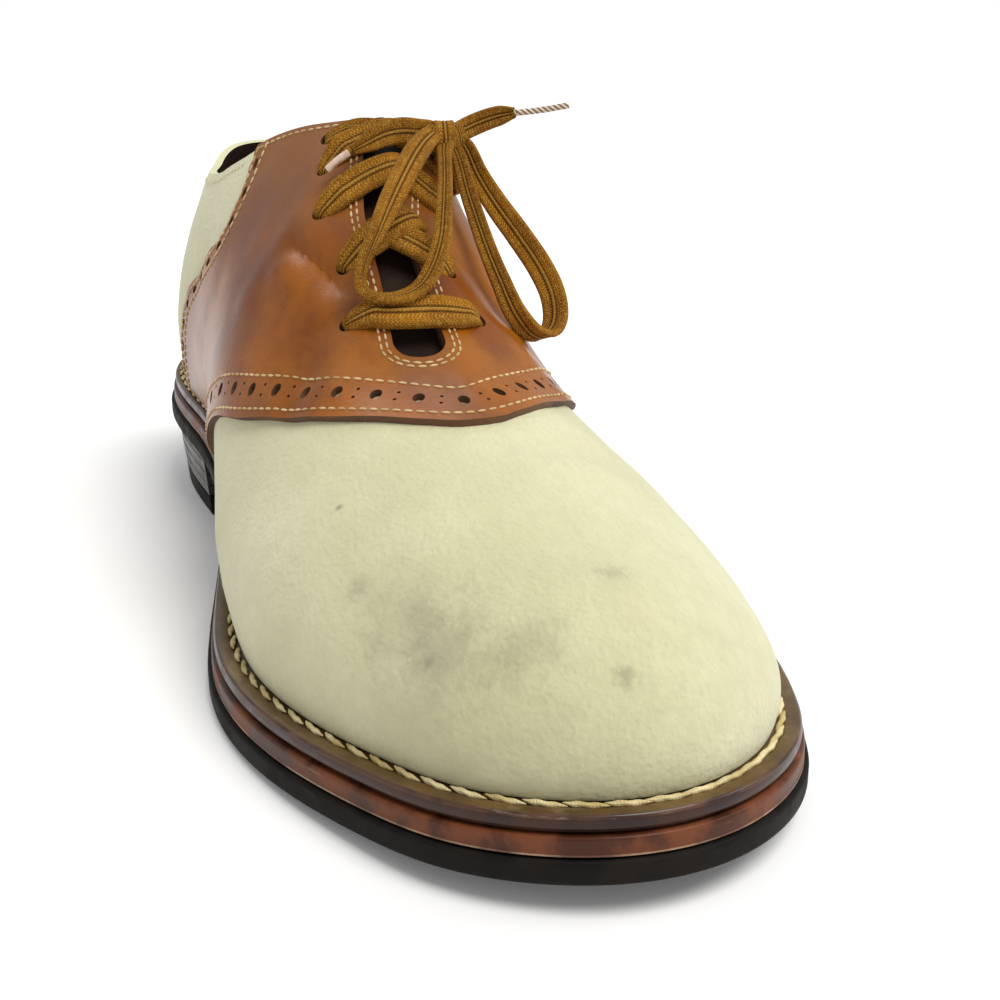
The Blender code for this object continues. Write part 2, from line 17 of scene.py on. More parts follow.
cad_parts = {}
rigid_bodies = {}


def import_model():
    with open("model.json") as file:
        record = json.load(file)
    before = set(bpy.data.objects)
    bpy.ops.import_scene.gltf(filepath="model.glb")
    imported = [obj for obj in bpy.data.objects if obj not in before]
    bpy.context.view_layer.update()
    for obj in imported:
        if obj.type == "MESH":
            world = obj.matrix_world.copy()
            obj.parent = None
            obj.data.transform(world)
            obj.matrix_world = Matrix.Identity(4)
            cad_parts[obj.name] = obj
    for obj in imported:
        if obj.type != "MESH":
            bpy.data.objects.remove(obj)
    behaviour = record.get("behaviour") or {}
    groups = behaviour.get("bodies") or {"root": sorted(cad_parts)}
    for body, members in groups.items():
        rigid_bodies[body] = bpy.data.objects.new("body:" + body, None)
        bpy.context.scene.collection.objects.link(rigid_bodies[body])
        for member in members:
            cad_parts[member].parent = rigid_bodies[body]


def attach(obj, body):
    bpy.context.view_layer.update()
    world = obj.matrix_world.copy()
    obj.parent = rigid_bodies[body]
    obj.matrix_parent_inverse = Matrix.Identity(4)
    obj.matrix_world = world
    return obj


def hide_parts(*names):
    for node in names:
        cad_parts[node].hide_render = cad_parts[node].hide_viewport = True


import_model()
MM = 0.001
whole_scene = bpy.context.scene.collection
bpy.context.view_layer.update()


def placed(name, data, collection=whole_scene):
    """A new object in the scene or in one of its collections."""
    made = bpy.data.objects.new(name, data)
    collection.objects.link(made)
    return made

# %% [markdown]
# ## Camera
# A camera was solved from the outline of the sole, the eyelets and the collar. It stands low in front
# of the toe, a little to the inner side. The picture is turned towards this one shoe and a longer
# lens frames it, which leaves the view of the shoe itself as it was.

# %% Camera
VIEW_FROM = Vector((-109.0, -343.3, 145.0)) * MM
VIEW_TURN = 0.177
VIEW_DIP = 0.333
ASIDE = 0.195
LENS = 54.0

ahead = Vector((sin(VIEW_TURN) * cos(VIEW_DIP), cos(VIEW_TURN) * cos(VIEW_DIP), -sin(VIEW_DIP)))
beside = Vector((cos(VIEW_TURN), -sin(VIEW_TURN), 0))
aim = ahead + beside * ASIDE
view = placed("view", bpy.data.cameras.new("view"))
view.data.lens = LENS
view.data.clip_start = 0.01
view.location = VIEW_FROM
view.rotation_euler = aim.to_track_quat("-Z", "Y").to_euler()
bpy.context.scene.camera = view
print("camera looks along", [round(value, 3) for value in aim.normalized()])

# %% [markdown]
# ## Small helpers for curves and grids
# The shoe is drawn by tables of a few numbers. One kind of curve never swings past its points,
# for widths and borders. The other is a natural cubic, for outlines with a round end.

# %% Curves through tables
def cell_of(x, at):
    """The cell of a table that holds a value, and the value kept inside the table."""
    at = min(max(at, x[0]), x[-1])
    return min(int(np.searchsorted(x, at, side="right")) - 1, len(x) - 2), at


def curve_through(xs, ys):
    """A smooth curve through table points that never swings past them."""
    x, y = np.array(xs, float), np.array(ys, float)
    step = np.diff(x)
    slope = np.diff(y) / step
    tangent = np.zeros(len(x))
    tangent[0], tangent[-1] = slope[0], slope[-1]
    for i in range(1, len(x) - 1):
        if slope[i - 1] * slope[i] > 0:
            near = 2 * step[i] + step[i - 1]
            far = step[i] + 2 * step[i - 1]
            tangent[i] = (near + far) / (near / slope[i - 1] + far / slope[i])

    def value(at):
        i, at = cell_of(x, at)
        u = (at - x[i]) / step[i]
        rise = y[i] * (1 + 2 * u) * (1 - u) ** 2 + y[i + 1] * u * u * (3 - 2 * u)
        return rise + step[i] * u * (1 - u) * (tangent[i] * (1 - u) - tangent[i + 1] * u)

    return value


def round_curve(xs, ys):
    """A natural cubic through table points."""
    x, y = np.array(xs, float), np.array(ys, float)
    step = np.diff(x)
    slope = np.diff(y) / step
    matrix = np.eye(len(x))
    right = np.zeros(len(x))
    for i in range(1, len(x) - 1):
        matrix[i, i - 1:i + 2] = step[i - 1], 2 * (step[i - 1] + step[i]), step[i]
        right[i] = 3 * (slope[i] - slope[i - 1])
    bend = np.linalg.solve(matrix, right)

    def value(at):
        i, at = cell_of(x, at)
        u = at - x[i]
        lean = slope[i] - step[i] * (2 * bend[i] + bend[i + 1]) / 3
        return y[i] + lean * u + bend[i] * u * u + (bend[i + 1] - bend[i]) / (3 * step[i]) * u ** 3

    return value


def ease(t):
    t = min(max(t, 0.0), 1.0)
    return t * t * (3 - 2 * t)


print("a table curve halfway", round(curve_through((0, 1, 2), (0, 1, 0))(0.5), 3))

# %% [markdown]
# A mapped grid is a flat grid whose points are moved by a function of their two shares. It carries a
# UV map in metres, so that a weave or a stripe keeps its scale, and each strip of faces may take
# its own material slot.

# %% Mapped grids and finished pieces
shoe = bpy.data.collections.new("dressed shoe")
whole_scene.children.link(shoe)


def mapped_grid(columns, rows, place, size=(1.0, 1.0), slots=None):
    bm = bmesh.new()
    layer = bm.loops.layers.uv.new("surface")
    bmesh.ops.create_grid(bm, x_segments=columns, y_segments=rows, size=0.5)
    for face in bm.faces:
        middle = face.calc_center_median()
        if slots:
            face.material_index = slots(middle.x + 0.5, middle.y + 0.5)
        for loop in face.loops:
            loop[layer].uv = ((loop.vert.co.x + 0.5) * size[0], (loop.vert.co.y + 0.5) * size[1])
    for vertex in bm.verts:
        vertex.co = place(vertex.co.x + 0.5, vertex.co.y + 0.5)
    return bm


def mesh_of(name, bm):
    """Writes a bmesh to a new mesh and frees it."""
    mesh = bpy.data.meshes.new(name)
    bm.to_mesh(mesh)
    bm.free()
    return mesh


def shade(mesh, sharp):
    """Smooth shading that breaks at edges over an angle in degrees."""
    mesh.shade_smooth()
    mesh.set_sharp_from_angle(angle=radians(sharp))


def settle(bm, name, finishes, stands_for=(), sharp=40, merge=2e-6):
    """Closes a bmesh, writes it to an object that rides on the shoe, and hides the imported parts that it
    stands for.
    """
    bmesh.ops.remove_doubles(bm, verts=bm.verts, dist=merge)
    bmesh.ops.dissolve_degenerate(bm, edges=bm.edges, dist=1e-7)
    bmesh.ops.recalc_face_normals(bm, faces=bm.faces)
    piece = placed(name, mesh_of(name, bm), shoe)
    for finish in finishes:
        piece.data.materials.append(finish.material)
    shade(piece.data, sharp)
    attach(piece, "root")
    if stands_for:
        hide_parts(*stands_for)
    print(name, len(piece.data.polygons), "faces")
    return piece


# %% [markdown]
# ## Shader helpers
# Node trees are easier to read as a few calls. A tree can add a node and feed its sockets, blend two
# colours by a mask, and stretch a value from one range to another. A finish is a material's tree,
# which can also paint and bump its shader.

# %% Node helpers
class Nodes:
    """A node tree with short calls that add nodes and give their outputs."""

    def __init__(self, tree):
        self.tree = tree

    def feed(self, socket, value):
        if isinstance(value, bpy.types.NodeSocket):
            self.tree.links.new(value, socket)
        else:
            socket.default_value = value

    def put(self, kind, inputs=None, **settings):
        node = self.tree.nodes.new("ShaderNode" + kind)
        for key, value in settings.items():
            setattr(node, key, value)
        for key, value in (inputs or {}).items():
            self.feed(node.inputs[key], value)
        return node.outputs

    def use(self, made, **inputs):
        """Places a group with its own values."""
        return self.put("Group", inputs, node_tree=made.tree)

    def spot(self, space="Object"):
        return self.put("TexCoord")[space]

    def axis(self, space, letter):
        return self.put("SeparateXYZ", {0: self.spot(space)})[letter]

    def math(self, operation, first, second=0.0, third=0.0):
        return self.put("Math", {0: first, 1: second, 2: third}, operation=operation)[0]

    def times(self, first, second, added=0.0):
        return self.math("MULTIPLY_ADD", first, second, added)

    def vector(self, operation, inputs, result=0):
        return self.put("VectorMath", inputs, operation=operation)[result]

    def noise(self, at, scale, detail=2.0, roughness=0.5, result="Fac"):
        inputs = {"Vector": at, "Scale": scale, "Detail": detail, "Roughness": roughness}
        return self.put("TexNoise", inputs)[result]

    def tint(self, mask, first, second):
        """The first colour where the mask is 0, and the second where it is 1."""
        return self.put("Mix", {0: mask, 6: first, 7: second}, data_type="RGBA")[2]

    def stain(self, colour, mask, strength, over):
        """A colour laid over another by a mask, at a strength."""
        return self.tint(self.times(mask, strength), colour, over)

    def stretch(self, value, low, high, to_low=0.0, to_high=1.0, kind="SMOOTHSTEP"):
        inputs = {"Value": value, "From Min": low, "From Max": high, "To Min": to_low, "To Max": to_high}
        return self.put("MapRange", inputs, interpolation_type=kind)["Result"]


class Finish(Nodes):
    """A new material, with the plain numbers of its Principled shader set."""

    def __init__(self, name, roughness, **uniform):
        self.material = bpy.data.materials.new(name)
        self.material.use_nodes = True
        super().__init__(self.material.node_tree)
        self.shader = self.tree.nodes["Principled BSDF"].inputs
        self.shader["Roughness"].default_value = roughness
        for key, value in uniform.items():
            self.shader[key.replace("_", " ")].default_value = value

    def paint(self, colour):
        self.feed(self.shader["Base Color"], colour)

    def clouded(self, dark, light, **mottled):
        """Two colours blended by a mottling, and the mottling's mask."""
        mask = self.use(mottling, **mottled)["Mask"]
        return self.tint(mask, dark, light), mask

    def bump(self, height, depth, strength, under=None):
        inputs = {"Height": height, "Distance": depth, "Strength": strength}
        if under:
            inputs["Normal"] = under
        normal = self.put("Bump", inputs)["Normal"]
        self.feed(self.shader["Normal"], normal)
        return normal


def rgb(red, green, blue):
    return (red, green, blue, 1.0)


def group(name, inputs, outputs):
    """A shader group, with the sockets that it is given and the ones that it has to feed."""
    tree = bpy.data.node_groups.new(name, "ShaderNodeTree")
    for label, value in inputs.items():
        kind = "Float" if isinstance(value, float) else "Vector"
        socket = tree.interface.new_socket(label, in_out="INPUT", socket_type="NodeSocket" + kind)
        socket.default_value = value
    for label in outputs:
        tree.interface.new_socket(label, in_out="OUTPUT", socket_type="NodeSocketFloat")
    return Nodes(tree), tree.nodes.new("NodeGroupInput").outputs, tree.nodes.new("NodeGroupOutput").inputs


# %% [markdown]
# ## Patterns that several finishes share
# Leather, cloth and rubber here are built from a few patterns: cloudy mottling, a pebbled grain,
# fine nap lines, a soft smudge at a place, long scratches, and the weave of a flat lace. Each is a
# group with named sockets, so that a finish only gives its own scale and place.

# %% Mottling, grain and nap
mottling, given, result = group(
    "mottling", {"Scale": 30.0, "Run": (1, 1, 1), "Low": 0.35, "High": 0.65}, ["Mask"])
run = mottling.put("Mapping", {"Vector": mottling.spot(), "Scale": given["Run"]})[0]
cloud = mottling.noise(run, given["Scale"], 4.0, 0.55)
mottling.feed(result["Mask"], mottling.stretch(cloud, given["Low"], given["High"]))

grain, given, result = group("grain", {"Scale": 900.0}, ["Height"])
pebbles = grain.put("TexVoronoi", {"Vector": grain.spot(), "Scale": given["Scale"]}, feature="SMOOTH_F1")
wander = grain.noise(grain.spot(), given["Scale"], 3.0)
grain.feed(result["Height"], grain.times(pebbles["Distance"], 0.7, wander))

nap, given, result = group(
    "nap", {"Scale": 500.0, "Lean": (0, 0, 0.5), "Length": (1, 0.18, 0.5)}, ["Height"])
flow = nap.noise(nap.spot(), 45.0, result="Color")
drift = nap.vector("SUBTRACT", {0: flow, 1: (0.5, 0.5, 0.5)})
push = nap.vector("SCALE", {0: drift, "Scale": 0.012})
moved = nap.vector("ADD", {0: nap.spot(), 1: push})
leaned = nap.put("Mapping", {"Vector": moved, "Rotation": given["Lean"], "Scale": given["Length"]})[0]
nap.feed(result["Height"], nap.noise(leaned, given["Scale"], 3.0, 0.6))
print("groups", [made.name for made in bpy.data.node_groups])

# %% Smudges and scratches
smudge, given, result = group(
    "smudge", {"Place": (0, 0, 0), "Reach": 0.01, "Ragged": 0.006, "Scale": 120.0}, ["Mask"])
ragged = smudge.math("SUBTRACT", smudge.noise(smudge.spot(), given["Scale"], 4.0, 0.7), 0.5)
far = smudge.vector("DISTANCE", {0: smudge.spot(), 1: given["Place"]}, "Value")
share = smudge.math("DIVIDE", smudge.times(ragged, given["Ragged"], far), given["Reach"])
smudge.feed(result["Mask"], smudge.stretch(share, 1.0, 0.0))

scratches, given, result = group("scratches", {"Scale": 200.0, "Run": (0.1, 1, 1), "Few": 0.68}, ["Mask"])
drawn = scratches.put("Mapping", {"Vector": scratches.spot("UV"), "Scale": given["Run"]})[0]
lines = scratches.noise(drawn, given["Scale"], 5.0, 0.75)
both = scratches.times(scratches.noise(scratches.spot(), 60.0), 0.35, lines)
scratches.feed(result["Mask"],
               scratches.stretch(both, given["Few"], scratches.math("ADD", given["Few"], 0.12)))

# %% [markdown]
# A flat lace is knitted as a soft tube: its threads lie in narrow columns of small V shapes. A
# wave along the lace's own UV map, bent back and forth across it, gives those columns, and a little
# noise breaks them into flecks that favour the raised loops. The lace paints these flecks pale,
# partly as its yarn's own tone and partly as a painted highlight.

# %% Weave of the lace
weave, given, result = group("weave", {"Pitch": 0.00085, "Column": 0.0007}, ["Height", "Fleck_and_highlight"])
folded = weave.math("PINGPONG", weave.axis("UV", "Y"), given["Column"])
column = weave.math("DIVIDE", folded, given["Column"])
along = weave.math("DIVIDE", weave.axis("UV", "X"), given["Pitch"])
chevron = weave.math("SINE", weave.times(weave.times(column, 0.7, along), 2 * pi))
bulge = weave.math("SINE", weave.times(column, pi))
knit = weave.times(weave.times(chevron, 0.5, 0.5), weave.times(bulge, 0.6, 0.4))
loose = weave.noise(weave.spot(), 1100.0, 2.0, 0.7)
weave.feed(result["Height"], weave.times(loose, 0.5, knit))
weave.feed(result["Fleck_and_highlight"], weave.stretch(weave.times(knit, 0.35, loose), 0.58, 0.86))

# %% [markdown]
# ## Lace cloth
# The lace is golden tan cotton. Its pale gold flecks are partly the yarn's own tone and partly a
# painted highlight on the raised loops. Painted shade darkens the hollows of the knit and the
# grooves beside the centre rib, and a painted highlight runs along the rib.

# %% Lace, aglet and thread finishes
LACE_WIDTH = 6.4 * MM
LACE_THICK = 1.9 * MM
LACE_SHARP = 70
THREAD_PITCH = 0.0006
# Across and up, as shares of half the width and half the thickness: ribbed edges and a centre rib
LACE_FACE = [(-1, 0), (-0.97, 0.5), (-0.88, 0.88), (-0.74, 1.0), (-0.6, 0.8), (-0.34, 0.86), (-0.16, 0.56),
             (-0.07, 0.84), (0.07, 0.84), (0.16, 0.56), (0.34, 0.86), (0.6, 0.8), (0.74, 1.0), (0.88, 0.88),
             (0.97, 0.5), (1, 0)]
LACE_SECTION = LACE_FACE + [(x, -y) for x, y in reversed(LACE_FACE[1:-1])]


def girth_of(section):
    return sum((Vector(b) - Vector(a)).length for a, b in zip(section, section[1:] + section[:1]))


LACE_GIRTH = girth_of(LACE_SECTION) * (LACE_WIDTH / 2)

finish = lace_cloth = Finish("golden tan lace", 0.85, Specular_IOR_Level=0.15)
knitted = finish.use(weave)
colour, _ = finish.clouded(rgb(0.30, 0.104, 0.005), rgb(0.47, 0.185, 0.010), Scale=90.0)
# Painted shade: the lace is darker where the knit's height is low, in the hollows between its loops
painted_knit_shade = finish.stretch(knitted["Height"], 0.50, 0.22, 0.0, 0.45)
colour = finish.tint(painted_knit_shade, colour, rgb(0.11, 0.036, 0.003))
# Pale gold flecks on the raised loops: partly the yarn's own tone and partly painted highlight
colour = finish.stain(colour, knitted["Fleck_and_highlight"], 0.6, rgb(0.66, 0.40, 0.075))
# Round the section the map runs over the upper face and back over the lower one, half a turn each
half_turn = finish.math("FRACT", finish.times(finish.axis("UV", "Y"), 2 / LACE_GIRTH))
from_middle = finish.math("ABSOLUTE", finish.math("SUBTRACT", half_turn, 0.5))
# Painted highlight along the raised centre rib, and painted shade in the grooves beside it
painted_rib_highlight = finish.stretch(from_middle, 0.055, 0.02, 0.0, 0.55)
painted_channel_shade = finish.times(finish.stretch(from_middle, 0.05, 0.08), finish.stretch(from_middle, 0.16, 0.11))
colour = finish.stain(colour, painted_channel_shade, 0.75, rgb(0.075, 0.024, 0.003))
finish.paint(finish.tint(painted_rib_highlight, colour, rgb(0.62, 0.36, 0.07)))
finish.bump(knitted["Height"], 0.00045, 0.9)

finish = film = Finish("striped aglet", 0.25, Coat_Weight=0.4)
turns = finish.times(finish.axis("UV", "X"), 1500.0, finish.times(finish.axis("UV", "Y"), 294.0))
stripe = finish.stretch(finish.math("SINE", finish.times(turns, pi)), -0.25, 0.25)
colour = finish.tint(stripe, rgb(0.16, 0.07, 0.03), rgb(0.74, 0.66, 0.54))
rubbed = finish.use(mottling, Scale=500.0)["Mask"]
finish.paint(finish.stain(colour, rubbed, 0.3, rgb(0.35, 0.22, 0.13)))
finish.bump(stripe, 0.0001, 0.6)

finish = pale_film = Finish("pale aglet", 0.3, Coat_Weight=0.3)
colour, rubbed = finish.clouded(rgb(0.80, 0.62, 0.50), rgb(0.62, 0.42, 0.30), Scale=420.0)
finish.paint(colour)
finish.bump(rubbed, 0.0001, 0.4)


def thread_finish(name, dark, light):
    finish = Finish(name, 0.6)
    finish.paint(finish.clouded(dark, light, Scale=160.0)[0])
    twisted = finish.use(weave, Pitch=THREAD_PITCH, Column=THREAD_PITCH)
    finish.bump(twisted["Height"], 0.00015, 0.8)
    return finish


tan_thread = thread_finish("light tan thread", rgb(0.46, 0.30, 0.12), rgb(0.70, 0.52, 0.27))
gold_thread = thread_finish("golden welt thread", rgb(0.56, 0.43, 0.17), rgb(0.86, 0.74, 0.42))
cream_thread = thread_finish("cream thread", rgb(0.52, 0.47, 0.27), rgb(0.66, 0.60, 0.37))
print("finishes", len(bpy.data.materials))

# %% [markdown]
# ## Laces that hang free
# The bow's two loops and two ends are one lace on each side of the knot. A flat lace could be a
# curve with a flat bevel, but its ribs and the way it twists show better on a mesh: a ring of points
# in the shape of the lace's section is carried along the route.

# %% Routes of the bow, in millimetres
KNOT = (16.4, 8.6, 111.3)
FRONT_LOOP = [(12.4, 4.6, 112.5), (6, -4, 110), (-2.7, -15.5, 103.5), (-11, -24.5, 94.5), (-15.6, -28, 87.5),
              (-15.5, -29.8, 82.8), (-11.2, -32.6, 81.5), (-5.5, -32.7, 82.3), (-1, -31, 85.4),
              (3.4, -27, 92), (7.5, -18, 99.5), (11.5, -7.5, 105.5), (14.4, 1.0, 108.6)]
SIDE_LOOP = [(22.2, 7.6, 109.2), (25, 6.4, 102.5), (29, 4.6, 95.5), (33.5, 1.2, 88.3), (37.2, -3.8, 81),
             (38.4, -9.4, 74.9), (37, -14.5, 69.6), (33, -18.6, 67), (27.8, -21.2, 68.6), (23.4, -21.4, 74),
             (21.2, -18.5, 80.5), (19.8, -14, 87), (19, -9, 93.5), (18.6, -3.6, 100), (18.8, 2.2, 106.4)]
LONG_END = [(20.7, 11.2, 111.9), (24.6, 11.8, 113.4), (28.4, 10.8, 115), (31.8, 9.1, 116.2), (35, 7, 117)]
LONG_AGLET = [(35.9, 6.4, 117), (41.9, 4.5, 117.7), (47.5, 2.5, 118.7)]
SHORT_END = [(11, 9.2, 113), (6, 8.5, 113.4), (1, 6.8, 112.8), (-3.5, 5.2, 111.2), (-7.2, 4.8, 109.6)]
SHORT_AGLET = [(-8, 4.8, 109.2), (-10.8, 5.4, 107.4), (-13.2, 6, 105.2)]


def smooth_route(points, gap=0.7 * MM):
    """Points a small gap apart along a smooth curve through the route's own points."""
    places = [Vector(p) for p in points]
    places = [2 * places[0] - places[1]] + places + [2 * places[-1] - places[-2]]
    fine = []
    for i in range(1, len(places) - 2):
        a, b, c, d = places[i - 1:i + 3]
        for k in range(16):
            t = k / 16
            fine.append(0.5 * (2 * b + (c - a) * t + (2 * a - 5 * b + 4 * c - d) * t * t
                               + (3 * b - a - 3 * c + d) * t ** 3))
    fine.append(places[-2])
    return even(fine, gap)


def run_of(points):
    """The points as an array, and how far along the line each of them lies."""
    spot = np.array([list(p) for p in points])
    return spot, np.concatenate(([0.0], np.cumsum(np.linalg.norm(np.diff(spot, axis=0), axis=1))))


def even(points, gap):
    """The same line with its points about a gap apart."""
    spot, run = run_of(points)
    count = max(2, round(run[-1] / gap) + 1)
    at = np.linspace(0, run[-1], count)
    return [Vector([np.interp(t, run, spot[:, axis]) for axis in range(3)]) for t in at]


def smoothed(line, times):
    """The same line with each inner point drawn towards its neighbours."""
    for _ in range(times):
        line[1:-1] = [(a + 2 * b + c) / 4 for a, b, c in zip(line, line[1:], line[2:])]
    return line


def run_length(points):
    return sum((b - a).length for a, b in zip(points, points[1:]))


def carried_frames(route, face, start=0):
    """A tangent and a face direction at each point, carried along from the start without twisting."""
    last = len(route) - 1
    tangents = [(route[min(i + 1, last)] - route[max(i - 1, 0)]).normalized() for i in range(last + 1)]
    faces = [None] * len(route)
    faces[start] = (face - tangents[start] * face.dot(tangents[start])).normalized()
    for order in (range(start + 1, len(route)), range(start - 1, -1, -1)):
        before = faces[start]
        for i in order:
            before = (before - tangents[i] * before.dot(tangents[i])).normalized()
            faces[i] = before
    return tangents, faces


def lace_mesh(route, face, widths, twists=((0, 1), (0, 0)), thick=LACE_THICK, section=LACE_SECTION, start=0):
    """Carries a section along a route. widths and twists are tables over the share of the length."""
    tangents, faces = carried_frames(route, Vector(face), start)
    width_at = curve_through(*widths)
    twist_at = curve_through(*twists)
    last = len(route) - 1

    def place(u, v):
        i = round(u * last)
        x, y = section[round(v * len(section)) % len(section)]
        turn = Matrix.Rotation(radians(twist_at(u)), 3, tangents[i])
        out = turn @ faces[i]
        aside = tangents[i].cross(out)
        return route[i] + aside * x * width_at(u) * MM / 2 + out * y * thick / 2

    bm = mapped_grid(last, len(section), place, (run_length(route), girth_of(section) * LACE_WIDTH / 2))
    bmesh.ops.remove_doubles(bm, verts=bm.verts, dist=1e-7)
    bmesh.ops.holes_fill(bm, edges=[edge for edge in bm.edges if edge.is_boundary], sides=0)
    return bm


def settle_lace(bm, name, stands_for=()):
    return settle(bm, name, [lace_cloth], stands_for, LACE_SHARP)


def in_metres(points):
    return [Vector(p) * MM for p in points]


# %% [markdown]
# Each aglet is a thin tube of film wrapped round the lace's end, slightly pinched where the lace
# goes in and rounded at its tip.

# %% Aglets
ROUND_SECTION = [(cos(2 * pi * k / 14), sin(2 * pi * k / 14)) for k in range(14)]


def aglet(name, points, finish, node, wide):
    route = smooth_route(in_metres(points), 0.5 * MM)
    shares = (0.8, 1, 0.92, 0.88, 0.86, 0.7, 0.3)
    widths = ((0, 0.05, 0.12, 0.5, 0.93, 0.98, 1), [share * wide for share in shares])
    bm = lace_mesh(route, (0, 0, 1), widths, thick=0.82 * wide * MM, section=ROUND_SECTION)
    return settle(bm, name, [finish], [node])


long_tip = aglet("long_aglet", [LONG_END[-1]] + LONG_AGLET, film, "aglet_long", 1.9)
short_tip = aglet("short_aglet", SHORT_AGLET, pale_film, "aglet_short", 2.2)

# %% [markdown]
# The side loop hangs over the outer facing, comes back into the knot and leaves it as the long end.
# The front loop lies over the crossings down to the lowest bar and leaves the knot as the short end.

# %% The two free laces
def free_lace(name, points, face, widths, twists, nodes):
    route = smooth_route(in_metres(points))
    piece = settle_lace(lace_mesh(route, face, widths, twists), name, nodes)
    run_length(route)
    print(name, "is", round(run_length(route) * 1000), "mm long")


free_lace(
    "side_loop_and_long_end",
    [(19.4, 8.6, 111)] + SIDE_LOOP + [(18.0, 6.4, 110.6), (18.2, 9.6, 112)] + LONG_END,
    (0.64, 0.75, 0.12),
    ((0, 0.05, 0.2, 0.38, 0.46, 0.6, 0.75, 0.81, 0.86, 0.92, 0.97, 1),
     (3.6, 5.0, 6.4, 6.6, 6.0, 4.6, 4.0, 3.6, 4.4, 5.3, 4.9, 2.6)),
    ((0, 0.2, 0.38, 0.55, 0.7, 0.80, 0.84, 0.90, 1), (-16, -16, -10, 38, 42, 44, 60, 128, 134)),
    ["lace_side_loop", "lace_long_end"],
)
free_lace(
    "front_loop_and_short_end",
    [(14.8, 8.2, 112)] + FRONT_LOOP + [(15.9, 4.8, 110.0), (16.3, 8.0, 111.5), (14.3, 9.7, 112.7)] + SHORT_END,
    (0.1, -0.68, 0.73),
    ((0, 0.04, 0.12, 0.24, 0.32, 0.38, 0.5, 0.68, 0.76, 0.82, 0.9, 0.96, 1),
     (3.8, 5.2, 6.0, 5.6, 4.4, 4.2, 4.6, 3.6, 3.4, 4.8, 6.4, 5.4, 2.4)),
    ((0, 0.1, 0.22, 0.36, 0.5, 0.7, 0.8, 0.87, 1), (0, 0, -12, -55, -30, -20, -22, -52, -38)),
    ["lace_front_loop", "lace_short_end"],
)

# %% [markdown]
# The knot is a short turn of the same lace, pulled tight over a core of crossed strands. Three such
# bands, one upright and one slanting on each side of it, read as a bow's knot from every side.

# %% Knot
# Centre and half sizes in millimetres, turn about Z in degrees, and width in millimetres
KNOT_BANDS = [
    ((16.9, 8.2, 110.6), 3.7, 4.4, -12, 5.0), ((19.4, 9.2, 111.0), 2.6, 3.2, 26, 3.8),
    ((14.2, 7.6, 111.2), 2.6, 3.0, -42, 3.6),
]
KNOT_THICK = 1.3 * MM
KNOT_CORE = (3.9, 2.7, 2.4)


def band_round(centre, wide, high, lean, width):
    """A closed band of lace round the knot."""
    turn = Matrix.Rotation(radians(lean), 3, "Z")
    route = []
    for k in range(49):
        angle = 2 * pi * k / 48
        route.append((Vector(centre) + turn @ Vector((0, cos(angle) * wide, sin(angle) * high))) * MM)
    return lace_mesh(route, turn @ Vector((0, 1, 0)), ((0, 1), (width, width)), thick=KNOT_THICK)


def joined(name, parts):
    """One bmesh of several."""
    whole = bmesh.new()
    for part in parts:
        mesh = mesh_of(name, part)
        whole.from_mesh(mesh)
        bpy.data.meshes.remove(mesh)
    return whole


core = bmesh.new()
bmesh.ops.create_uvsphere(core, u_segments=24, v_segments=14, radius=1)
core.loops.layers.uv.new("surface")
bmesh.ops.scale(core, vec=Vector(KNOT_CORE) * MM, verts=core.verts)
bmesh.ops.translate(core, vec=Vector(KNOT) * MM, verts=core.verts)
settle_lace(joined("knot", [band_round(*band) for band in KNOT_BANDS] + [core]), "tied_knot", ["lace_knot"])

# %% [markdown]
# ## The last
# A shoe is built on a last. Its feather edge is drawn from half widths, its ridge from heights and
# side shifts, and a fuller or flatter section joins them on each side. The same tables drew the
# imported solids, so what is built on them lies exactly where the solids are.

# %% Sizes of the last and the leathers
LAST_LENGTH = 297 * MM
BALL_WIDTH = 103 * MM
INSTEP_RISE = 92 * MM
HEEL_HEIGHT = 20.9 * MM
TOE_SPRING = 5.5 * MM
OUTSOLE = 4.8 * MM
MIDSOLE = 4.1 * MM
WELT = 3.5 * MM
INSOLE_STANDS = 2.2 * MM
TOP_LIFT = 6.0 * MM
BREAST_CURVE = 3.0 * MM
GAP = 0.3 * MM
SADDLE_GAP = 0.4 * MM
WALL = 2.0 * MM
SADDLE_LEATHER = 1.3 * MM
TONGUE_LEATHER = 1.8 * MM
EYELET = 4.4 * MM
SOLE = OUTSOLE + MIDSOLE + WELT
SADDLE_TOP = SADDLE_GAP + SADDLE_LEATHER
HEEL_SEAT_END = 0.26
SHANK_END = 0.60
SPRING_START = 0.68
TOE_RIDGE = 34 * MM
HEEL_RIDGE = 38 * MM
RIDGE_TURN = 2.5
BELLY_PEAK = 4 / 27
WELT_HOLDS = 2 * MM
WELT_REACH = 5.2 * MM
FEATHER = {
    "share": (0, .02, .06, .12, .20, .30, .40, .50, .58, .66, .73, .80, .88, .94, .98, 1),
    "medial": (0, .165, .248, .299, .315, .311, .325, .388, .447, .495, .500, .466, .388, .301, .180, 0),
    "lateral": (0, .165, .248, .301, .320, .330, .361, .417, .471, .500, .503, .472, .393, .301, .179, 0),
}
